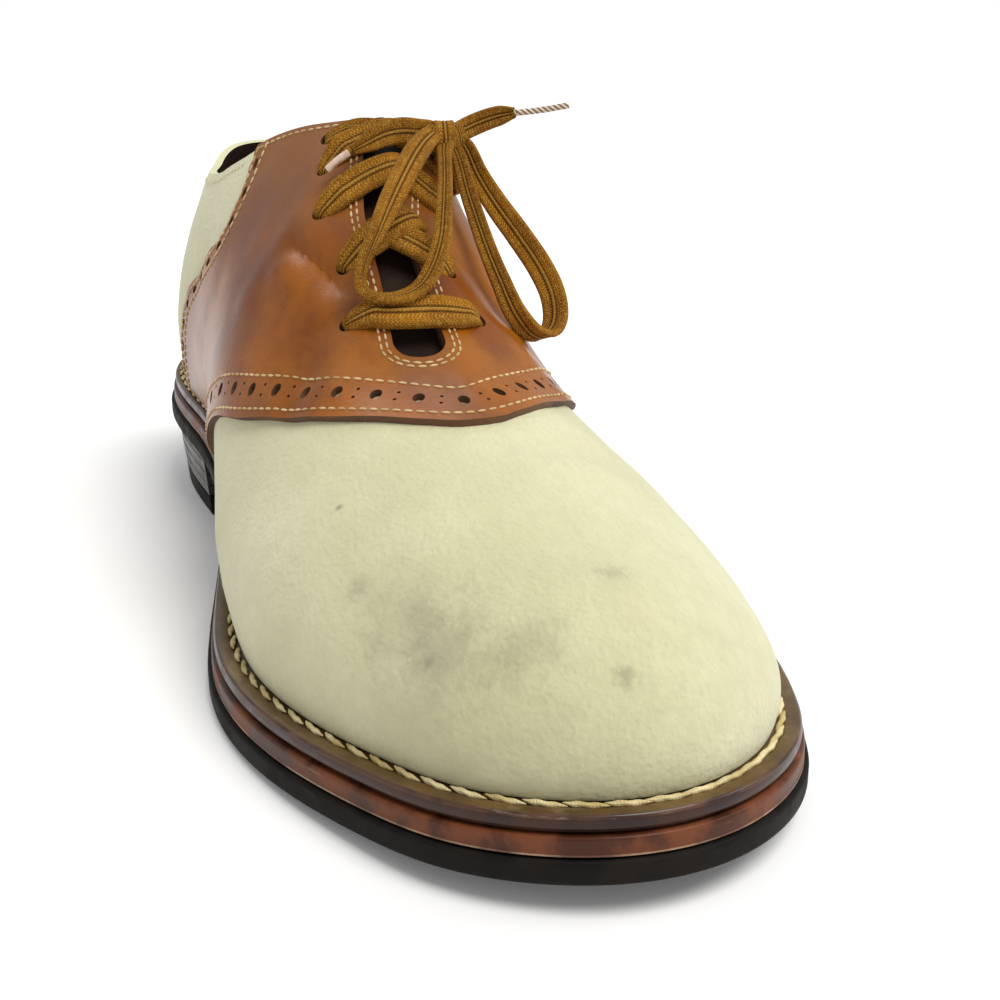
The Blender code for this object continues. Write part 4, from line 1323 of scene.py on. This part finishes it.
rows = [carried_in(front_edge, distance, TO_HEEL) for distance in (2.0 * MM, BAND)]
rows += [carried_in(rear_edge, distance, TO_TOE) for distance in (1.7 * MM, 5.6 * MM)]
rows += [throat_row(1.4 * MM), throat_row(2.7 * MM), topline_row(.335, .425, -1), topline_row(.335, .415, 1)]
fine = [place for line in rows for place in seam_places(line, ON_SADDLE, 1 * MM)]
settle(strewn("seams", stitch_seed(*SADDLE_STITCH), fine), "saddle_stitching", [tan_thread])
print(len(fine), "stitches on the saddle")

# %% [markdown]
# The quarters behind the saddle have a plain stitched topline and a closed seam up the back.

# %% Quarter seams
quarter = []
for side in (-1, 1):
    quarter += seam_places(topline_row(.03, .30, side), ON_CREAM)
back = [skin_point(0, up, 1) for up in np.linspace(0.03, 0.55, 60)]
for aside in (-1.6 * MM, 1.6 * MM):
    quarter += seam_places(even([point + Vector((aside, 0, 0)) for point in back], 1 * MM), ON_CREAM)
settle(strewn("seams", stitch_seed(*QUARTER_STITCH), quarter), "quarter_stitching", [cream_thread])
print(len(quarter), "stitches on the quarters")

# %% [markdown]
# ## Tongue
# The tongue lies under the throat, soft, and shows at the foot of the slot and under the collar. Its
# brown leather is coloured almost black, a painted shade for the dark gap of the throat. It is the
# same skin again, one wall further in, with rounded edges.

# %% Tongue
def tongue_place(u, v):
    side, up = from_both_sides(v, TONGUE_SPREAD)
    first = turn_of(TONGUE_ENDS[0])
    return skin_point(first + (turn_of(TONGUE_ENDS[1]) - first) * u, up, side)


shell = thicken(worn(mapped_grid(70, 44, tongue_place)), -WALL - GAP - TONGUE_LEATHER, -WALL - GAP, 0, 0)
tongue = settle(shell, "brown_tongue_darkened_with_painted_shade", [tongue_leather_with_painted_shade], ["tongue"])
soften = tongue.modifiers.new("soft edge", "BEVEL")
soften.width = 0.5 * MM
soften.segments = 3
soften.limit_method = "ANGLE"

# %% [markdown]
# ## Lacing
# The lace crosses the throat flat at the lowest eyelets and goes back and forth over it above them.
# At each eyelet it narrows and turns down through the leather, which is what makes lacing look tight.

# %% Lacing
TIED_THICK = 2.3 * MM
BAR_THICK = 2.8 * MM
FLAT = SADDLE_TOP + 0.1 * MM + TIED_THICK / 2
BAR_LIFT = FLAT + 0.5 * MM
LEAN_TO_TOE = Vector((0, -0.22, 0))
# Widths in millimetres over the share of the length: narrow where a lace goes through an eyelet
ENDS_BOTH = ((0, 0.09, 0.17, 0.30, 0.5, 0.70, 0.83, 0.91, 1), (3.4, 3.8, 6.0, 8.2, 8.6, 8.2, 6.0, 3.8, 3.4))
ONE_END = ((0, 0.10, 0.2, 0.42, 0.8, 1), (3.4, 4.0, 6.4, 8.0, 7.8, 6.4))
TIE = ((0, 0.1, 0.3, 0.7, 1), (3.2, 3.6, 5.4, 5.4, 3.4))


def dive(index, side, inward):
    """Points that bring a lace up through an eyelet, from under the facing."""
    spot, normal = over(*eyelet_plan(index, side), 0)
    return [spot - normal * 3.0 * MM - inward * 0.5 * MM, spot - normal * 0.6 * MM - inward * 0.3 * MM,
            spot + normal * 1.3 * MM + inward * 0.3 * MM]


def across(index, side, other, share_end, lifts, tail):
    """A lace from one eyelet towards another, hung a little towards the toe, with its lift as a table."""
    start = Vector((*eyelet_plan(index, side), 0))
    goal = Vector((*eyelet_plan(other, -side), 0))
    lift_at = curve_through(*lifts)
    line = []
    for t in np.linspace(0.10, share_end, 13):
        spot = start.lerp(goal, t)
        line.append(over(spot.x, spot.y - LACE_SAG * sin(pi * t), lift_at(t / share_end))[0])
    line = smoothed(line, 3)
    return smooth_route(dive(index, side, (line[1] - line[0]).normalized()) + line[1:] + tail)


def flat_lace(route, widths, thick=TIED_THICK):
    middle = len(route) // 2
    return lace_mesh(route, seat(route[middle])[1] + LEAN_TO_TOE, widths, thick=thick, start=middle)


start, goal = (over(*eyelet_plan(0, side), 0)[0] for side in (-1, 1))
tail = list(reversed(dive(0, 1, (start - goal).normalized())))
bar_route = across(0, -1, 0, 0.90, ((0, 0.2, 0.8, 1), (FLAT, BAR_LIFT, BAR_LIFT, FLAT)), tail)
settle_lace(flat_lace(bar_route, ENDS_BOTH, BAR_THICK), "bar_lace", ["lace_bar"])

for index in range(1, EYELET_PAIRS - 1):
    halves = []
    for side, crown in ((-1, 0.9 * MM), (1, 0.0)):
        lifts = ((0, 0.62, 0.82, 1), (FLAT, FLAT + crown, FLAT + crown * 0.6, -0.9 * MM))
        halves.append(flat_lace(across(index, side, index + 1, 0.72, lifts, []), ONE_END))
    name = f"crossing_lace_{index}"
    settle_lace(joined(name, halves), name, [f"lace_crossing_{index}"])

# %% [markdown]
# From the topmost eyelets the lace runs straight to the knot.

# %% Laces to the knot
ties = []
top_pair = EYELET_PAIRS - 1
for side in (-1, 1):
    x, y = eyelet_plan(top_pair, side)
    goal = (Vector(KNOT) + Vector((side * 2.5, 1.5, -0.6))) * MM
    points = dive(top_pair, side, (goal - Vector((x, y, goal.z))).normalized())
    for t in (0.25, 0.5, 0.75):
        spot = Vector((x, y, 0)).lerp(Vector((goal.x, goal.y, 0)), t)
        points.append(over(spot.x, spot.y, FLAT)[0].lerp(goal, t * t))
    ties.append(flat_lace(smooth_route(points + [goal]), TIE))
settle_lace(joined("ties", ties), "laces_to_knot")

# %% [markdown]
# ## Sole finishes
# The welt is olive brown and satin on top, and dark, waxed and glossy on its edge, with pale nicks
# along its upper corner. The midsole's edge is a patchy red brown with a thin pale line at its foot.
# The outsole and the heel are almost black.

# %% Sole finishes
finish = welt_top = Finish("olive brown welt", 0.42, Specular_IOR_Level=0.35)
colour, _ = finish.clouded(rgb(0.075, 0.040, 0.011), rgb(0.145, 0.088, 0.028), Scale=70.0)
nicked = finish.use(scratches, Scale=260.0, Run=(0.25, 1, 1), Few=0.74)["Mask"]
finish.paint(finish.stain(colour, nicked, 0.35, rgb(0.30, 0.22, 0.11)))
finish.bump(finish.use(grain, Scale=800.0)["Height"], 0.00008, 0.6)


def waxed_edge(name, dark, light, nick, few, roughness, **uniform):
    """A dressed sole edge: clouded colour, long scratches and a waxed gloss."""
    finish = Finish(name, roughness, **uniform)
    colour, clouds = finish.clouded(dark, light, Scale=95.0, Low=0.4, High=0.62)
    nicked = finish.use(scratches, Scale=420.0, Run=(0.12, 1, 1), Few=few)["Mask"]
    finish.paint(finish.stain(colour, nicked, 0.5, nick))
    finish.feed(finish.shader["Roughness"], finish.stretch(clouds, 0.0, 1.0, roughness, roughness + 0.15))
    finish.bump(finish.math("ADD", clouds, nicked), 0.0001, 0.5)
    return finish


welt_edge = waxed_edge(
    "dark welt edge", rgb(0.020, 0.006, 0.003), rgb(0.045, 0.014, 0.006), rgb(0.28, 0.13, 0.07),
    0.84, 0.30, Specular_IOR_Level=0.25, Coat_Weight=0.18)
arris = waxed_edge(
    "worn corner of the welt", rgb(0.035, 0.013, 0.006), rgb(0.085, 0.036, 0.017), rgb(0.50, 0.34, 0.24),
    0.76, 0.30, Specular_IOR_Level=0.35, Coat_Weight=0.25)
red_edge = waxed_edge(
    "red brown midsole edge", rgb(0.060, 0.016, 0.006), rgb(0.165, 0.048, 0.016), rgb(0.34, 0.15, 0.07),
    0.80, 0.40, Specular_IOR_Level=0.2, Coat_Weight=0.08)
pale_line = waxed_edge(
    "pale line under the midsole", rgb(0.12, 0.045, 0.02), rgb(0.42, 0.26, 0.16), rgb(0.60, 0.45, 0.32),
    0.70, 0.45)
rubber = waxed_edge(
    "near black rubber", rgb(0.006, 0.005, 0.004), rgb(0.013, 0.010, 0.008), rgb(0.040, 0.032, 0.026),
    0.80, 0.60, Specular_IOR_Level=0.12)
heel_leather = waxed_edge(
    "dark heel stack", rgb(0.016, 0.009, 0.006), rgb(0.036, 0.020, 0.012), rgb(0.10, 0.06, 0.035),
    0.76, 0.34, Coat_Weight=0.2)
print("finishes", len(bpy.data.materials))

# %% [markdown]
# ## Sole layers
# Each layer is one section carried round the outline: from the middle of its underside out to the
# edge, up the edge with its grooves and rounded corners, and back to the middle on top.

# %% Layers carried round the outline
OUTLINE_COLUMNS = 264
MIDLINE_IN = 12 * MM
# Reach past the welt's edge and thickness, in millimetres
OUTSOLE_LAYER = (1.7, 4.5)
MIDSOLE_LAYER = (0.7, 3.8)


def past_welt(turn, side, reach):
    """A plan point at a distance past the welt's own edge."""
    return plan_point(turn, side, reach_at(share_of(turn)) * WELT_REACH + reach)


def strips(rows):
    """Gives each strip of faces the slot of the row under it."""
    return lambda u, v: rows[min(int(v * (len(rows) - 1)), len(rows) - 2)][2]


def round_outline(name, section, bottom, finishes, node):
    """section rows are (reach in mm, height in mm over the layer's foot, slot of the strip above it).

    A reach is measured from the welt's own edge, or from the feather edge if given as a string.
    None is the middle line.
    """
    def place(u, v):
        turn, side = hand_of(2 * pi * u)
        reach, height, _ = section[round(v * (len(section) - 1))]
        if reach is None:
            ends = [plan_point(turn, way, -MIDLINE_IN) for way in (-1, 1)]
            x, y = (ends[0][0] + ends[1][0]) / 2, (ends[0][1] + ends[1][1]) / 2
        elif isinstance(reach, str):
            x, y = plan_point(turn, side, float(reach) * MM)
        else:
            x, y = past_welt(turn, side, reach * MM)
        return Vector((x + AXIS_X, y, tread(share_at(y)) + bottom + height * MM))

    bm = mapped_grid(OUTLINE_COLUMNS, len(section) - 1, place, (0.8, 0.02), strips(section))
    settle(bm, name, finishes, [node], sharp=50, merge=5e-6)


def layer_section(out, thick):
    """A plain layer with rounded corners, in millimetres."""
    rows = [(None, 0), (out - 9, 0), (out - 2.5, 0), (out - 0.45, 0), (out - 0.1, 0.3), (out, 0.9),
            (out, thick / 2), (out, thick - 0.8), (out - 0.1, thick - 0.3), (out - 0.45, thick),
            (out - 2.5, thick), (out - 9, thick), (None, thick)]
    return [(reach, height, 0) for reach, height in rows]


round_outline("outsole_rubber", layer_section(*OUTSOLE_LAYER), 0, [rubber], "outsole")
# The midsole's lower corner stands out a little and has a pale line on it
middle_rows = layer_section(*MIDSOLE_LAYER)
out = MIDSOLE_LAYER[0]
middle_rows[3:6] = [(out - 0.45, 0, 1), (out + 0.05, 0.25, 1), (out + 0.05, 0.6, 0)]
round_outline("midsole_edge", middle_rows, OUTSOLE, [red_edge, pale_line], "midsole")

# %% [markdown]
# The welt is a strip all round the upper, stitched down by a thick thread that lies in a shallow
# channel next to the upper. Its outer corner is rounded and worn, and a groove runs under it.

# %% Welt
WELT_SECTION = [
    ("-4.0", 0, 1), (-1.3, 0, 1), (-0.75, 0.1, 1), (-0.75, 0.45, 1), (-0.15, 0.7, 1), (0, 1.1, 1),
    (0.05, 1.9, 1), (-0.05, 2.7, 2), (-0.25, 3.15, 2), (-0.6, 3.4, 0), (-1.1, 3.5, 0), ("2.3", 3.5, 0),
    ("1.6", 3.3, 0),
    ("0.9", 3.0, 0), ("0.1", 3.05, 0), ("-0.4", 3.3, 0), ("-4.0", 3.3, 1), ("-4.0", 0, 1),
]
round_outline("welt_strip", WELT_SECTION, OUTSOLE + MIDSOLE, [welt_top, welt_edge, arris],
              "welt")


def rope_seed(length, thick):
    """A spindle of two strands twisted together, bowed a little to one side."""
    def place(u, v):
        fat = max(sin(pi * u), 0.0) ** 0.55
        angle = 2 * pi * v
        ridge = 1 + 0.16 * cos(2 * angle - 5.0 * pi * u)
        out = thick / 2 * fat * ridge
        bow = 0.35 * MM * (1 - (2 * u - 1) ** 2)
        return Vector(((u - 0.5) * length, bow + out * cos(angle), out * sin(angle)))

    seed = mapped_grid(16, 12, place, (length, 4 * MM))
    bmesh.ops.remove_doubles(seed, verts=seed.verts, dist=1e-6)
    return seed


ROPE_PITCH = 6.9 * MM
# Length and thickness of a stitch
ROPE = (8.4 * MM, 1.15 * MM)
ROPE_OUT = 0.95 * MM
ROPE_LIFT = 0.15 * MM
ROPE_SLANT = Matrix.Rotation(radians(-9), 4, "Z") @ Matrix.Rotation(radians(3), 4, "Y")
rope_line = []
for angle in np.linspace(0, 2 * pi, 500):
    x, y = plan_point(*hand_of(angle), ROPE_OUT)
    rope_line.append(Vector((x + AXIS_X, y, tread(share_at(y)) + SOLE + ROPE_LIFT)))
ropes = [lying(place, along, Vector((0, 0, 1))) @ ROPE_SLANT
         for place, along in walk(even(rope_line, 1 * MM), ROPE_PITCH)]
settle(strewn("ropes", rope_seed(*ROPE), ropes), "welt_stitches", [gold_thread])
print(len(ropes), "welt stitches")

# %% [markdown]
# The insole is the floor of the shoe, a board under tan leather that dips a little under the heel.

# %% Insole
inner = -(WALL + WELT_HOLDS + GAP) / MM
high = (WELT + INSOLE_STANDS) / MM
insole_rows = [(None, 0, 0), (f"{inner - 8}", 0, 0), (f"{inner - 0.4}", 0, 0), (f"{inner}", 0.4, 0),
               (f"{inner}", high - 0.9, 0), (f"{inner - 0.3}", high - 0.3, 0),
               (f"{inner - 1.2}", high - 0.05, 0), (f"{inner - 8}", high - 0.2, 0), (None, high - 0.5, 0)]
round_outline("insole_floor", insole_rows, OUTSOLE + MIDSOLE, [sock], "insole")

# %% [markdown]
# ## Heel
# A stacked heel is built of leather lifts with a rubber top lift underneath. Its outline follows the
# back of the sole, and its front, the breast, is hollowed. Thin grooves part the lifts.

# %% Heel
HEEL_END = turn_of(HEEL_SEAT_END + 0.005)
# The share of the heel's outline that runs round the back; the rest is the breast
ARC = 0.8


def heel_point(w, reach):
    """A point of the heel's outline at share w, reach in metres past the welt's edge."""
    corners = [past_welt(HEEL_END, way, reach) for way in (-1, 1)]
    breast_y = corners[0][1] - reach
    if w <= ARC:
        angle = (2 * w / ARC - 1) * HEEL_END
        x, y = past_welt(abs(angle), 1 if angle > 0 else -1, reach)
        return x + AXIS_X, max(y, breast_y)
    s = (w - ARC) / (1 - ARC)
    x = corners[1][0] + (corners[0][0] - corners[1][0]) * s
    return x + AXIS_X, breast_y + BREAST_CURVE * (1 - (2 * s - 1) ** 2)


def heel_block(name, rows, finish, node):
    """rows are (reach in mm, height in metres, slot)."""
    def place(u, v):
        reach, z, _ = rows[round(v * (len(rows) - 1))]
        if reach is None:
            return Vector((AXIS_X, y_of(0.12), z))
        return Vector((*heel_point(u % 1.0, reach * MM), z))

    bm = mapped_grid(150, len(rows) - 1, place, (0.27, 0.03), strips(rows))
    settle(bm, name, [finish], [node], sharp=35, merge=5e-6)


def lift_rows(low, high, count, reach_low, reach_high, groove):
    """Sides of stacked lifts, each with a small groove over it."""
    rows = [(None, low, 0), (reach_low - 0.5, low, 0), (reach_low, low + 0.4 * MM, 0)]
    for k in range(1, count):
        z = low + (high - low) * k / count
        reach = reach_low + (reach_high - reach_low) * k / count
        rows += [(reach, z - 0.35 * MM, 0), (reach - groove, z - 0.1 * MM, 0),
                 (reach - groove, z + 0.1 * MM, 0), (reach, z + 0.35 * MM, 0)]
    return rows + [(reach_high, high - 0.4 * MM, 0), (reach_high - 0.5, high, 0), (None, high, 0)]


heel_block("heel_lift", lift_rows(0.0, TOP_LIFT - GAP, 1, -2.2, -1.7, 0), rubber,
           "heel_top_lift")
heel_block("stacked_heel", lift_rows(TOP_LIFT, HEEL_HEIGHT - GAP, 4, -1.6, 0.0, 0.22), heel_leather,
           "heel_stack")

# %% [markdown]
# ## Floor and light
# A plain pale floor, a bright even sky, a soft sun high in front on the outer side, and two weak
# lamps that only draw the gloss along the saddle and the welt.

# %% Floor
FLOOR_HALF = 12
UNDER_SHOE = 0.0003
ground = bmesh.new()
bmesh.ops.create_grid(ground, x_segments=2, y_segments=2, size=FLOOR_HALF)
bmesh.ops.translate(ground, vec=(0, 0, -UNDER_SHOE), verts=ground.verts)
floor = placed("pale_floor", mesh_of("pale_floor", ground))
finish = Finish("white paper", 0.9, Emission_Color=rgb(1, 1, 1), Emission_Strength=0.07)
finish.paint(finish.clouded(rgb(0.90, 0.90, 0.90), rgb(0.92, 0.92, 0.92), Scale=3.0)[0])
floor.data.materials.append(finish.material)

# %% Lights
# The camera sees the sky as white, but it lights the shoe at half that strength
sky = bpy.data.worlds.new("sky")
sky.use_nodes = True
air = Nodes(sky.node_tree)
seen = air.put("LightPath")["Is Camera Ray"]
even_light = sky.node_tree.nodes["Background"].inputs
even_light["Color"].default_value = rgb(1.0, 1.0, 1.0)
air.feed(even_light["Strength"], air.stretch(seen, 0.0, 1.0, 0.5, 1.0, "LINEAR"))
bpy.context.scene.world = sky
bpy.context.scene.view_settings.view_transform = "Standard"

AIM_LAMPS = Vector((0, -0.03, 0.05))
# Name, kind, place in metres, size in metres (for the sun an angle), power and colour
LAMPS = [
    ("sun", "SUN", (0.32, -0.50, 1.20), 0.6, 2.15, (1.0, 0.99, 0.96)),
    ("side gloss", "AREA", (0.75, -0.25, 0.55), 0.35, 1.2, (1.0, 1.0, 1.0)),
    ("back gloss", "AREA", (0.1, 0.8, 0.8), 0.6, 2.0, (1.0, 1.0, 1.0)),
]
for name, kind, place, size, power, colour in LAMPS:
    lamp = placed(name, bpy.data.lights.new(name, kind))
    setattr(lamp.data, "angle" if kind == "SUN" else "size", size)
    lamp.data.energy = power
    lamp.data.color = colour
    lamp.location = place
    lamp.rotation_euler = (AIM_LAMPS - Vector(place)).to_track_quat("-Z", "Y").to_euler()
print("lamps", len(LAMPS))
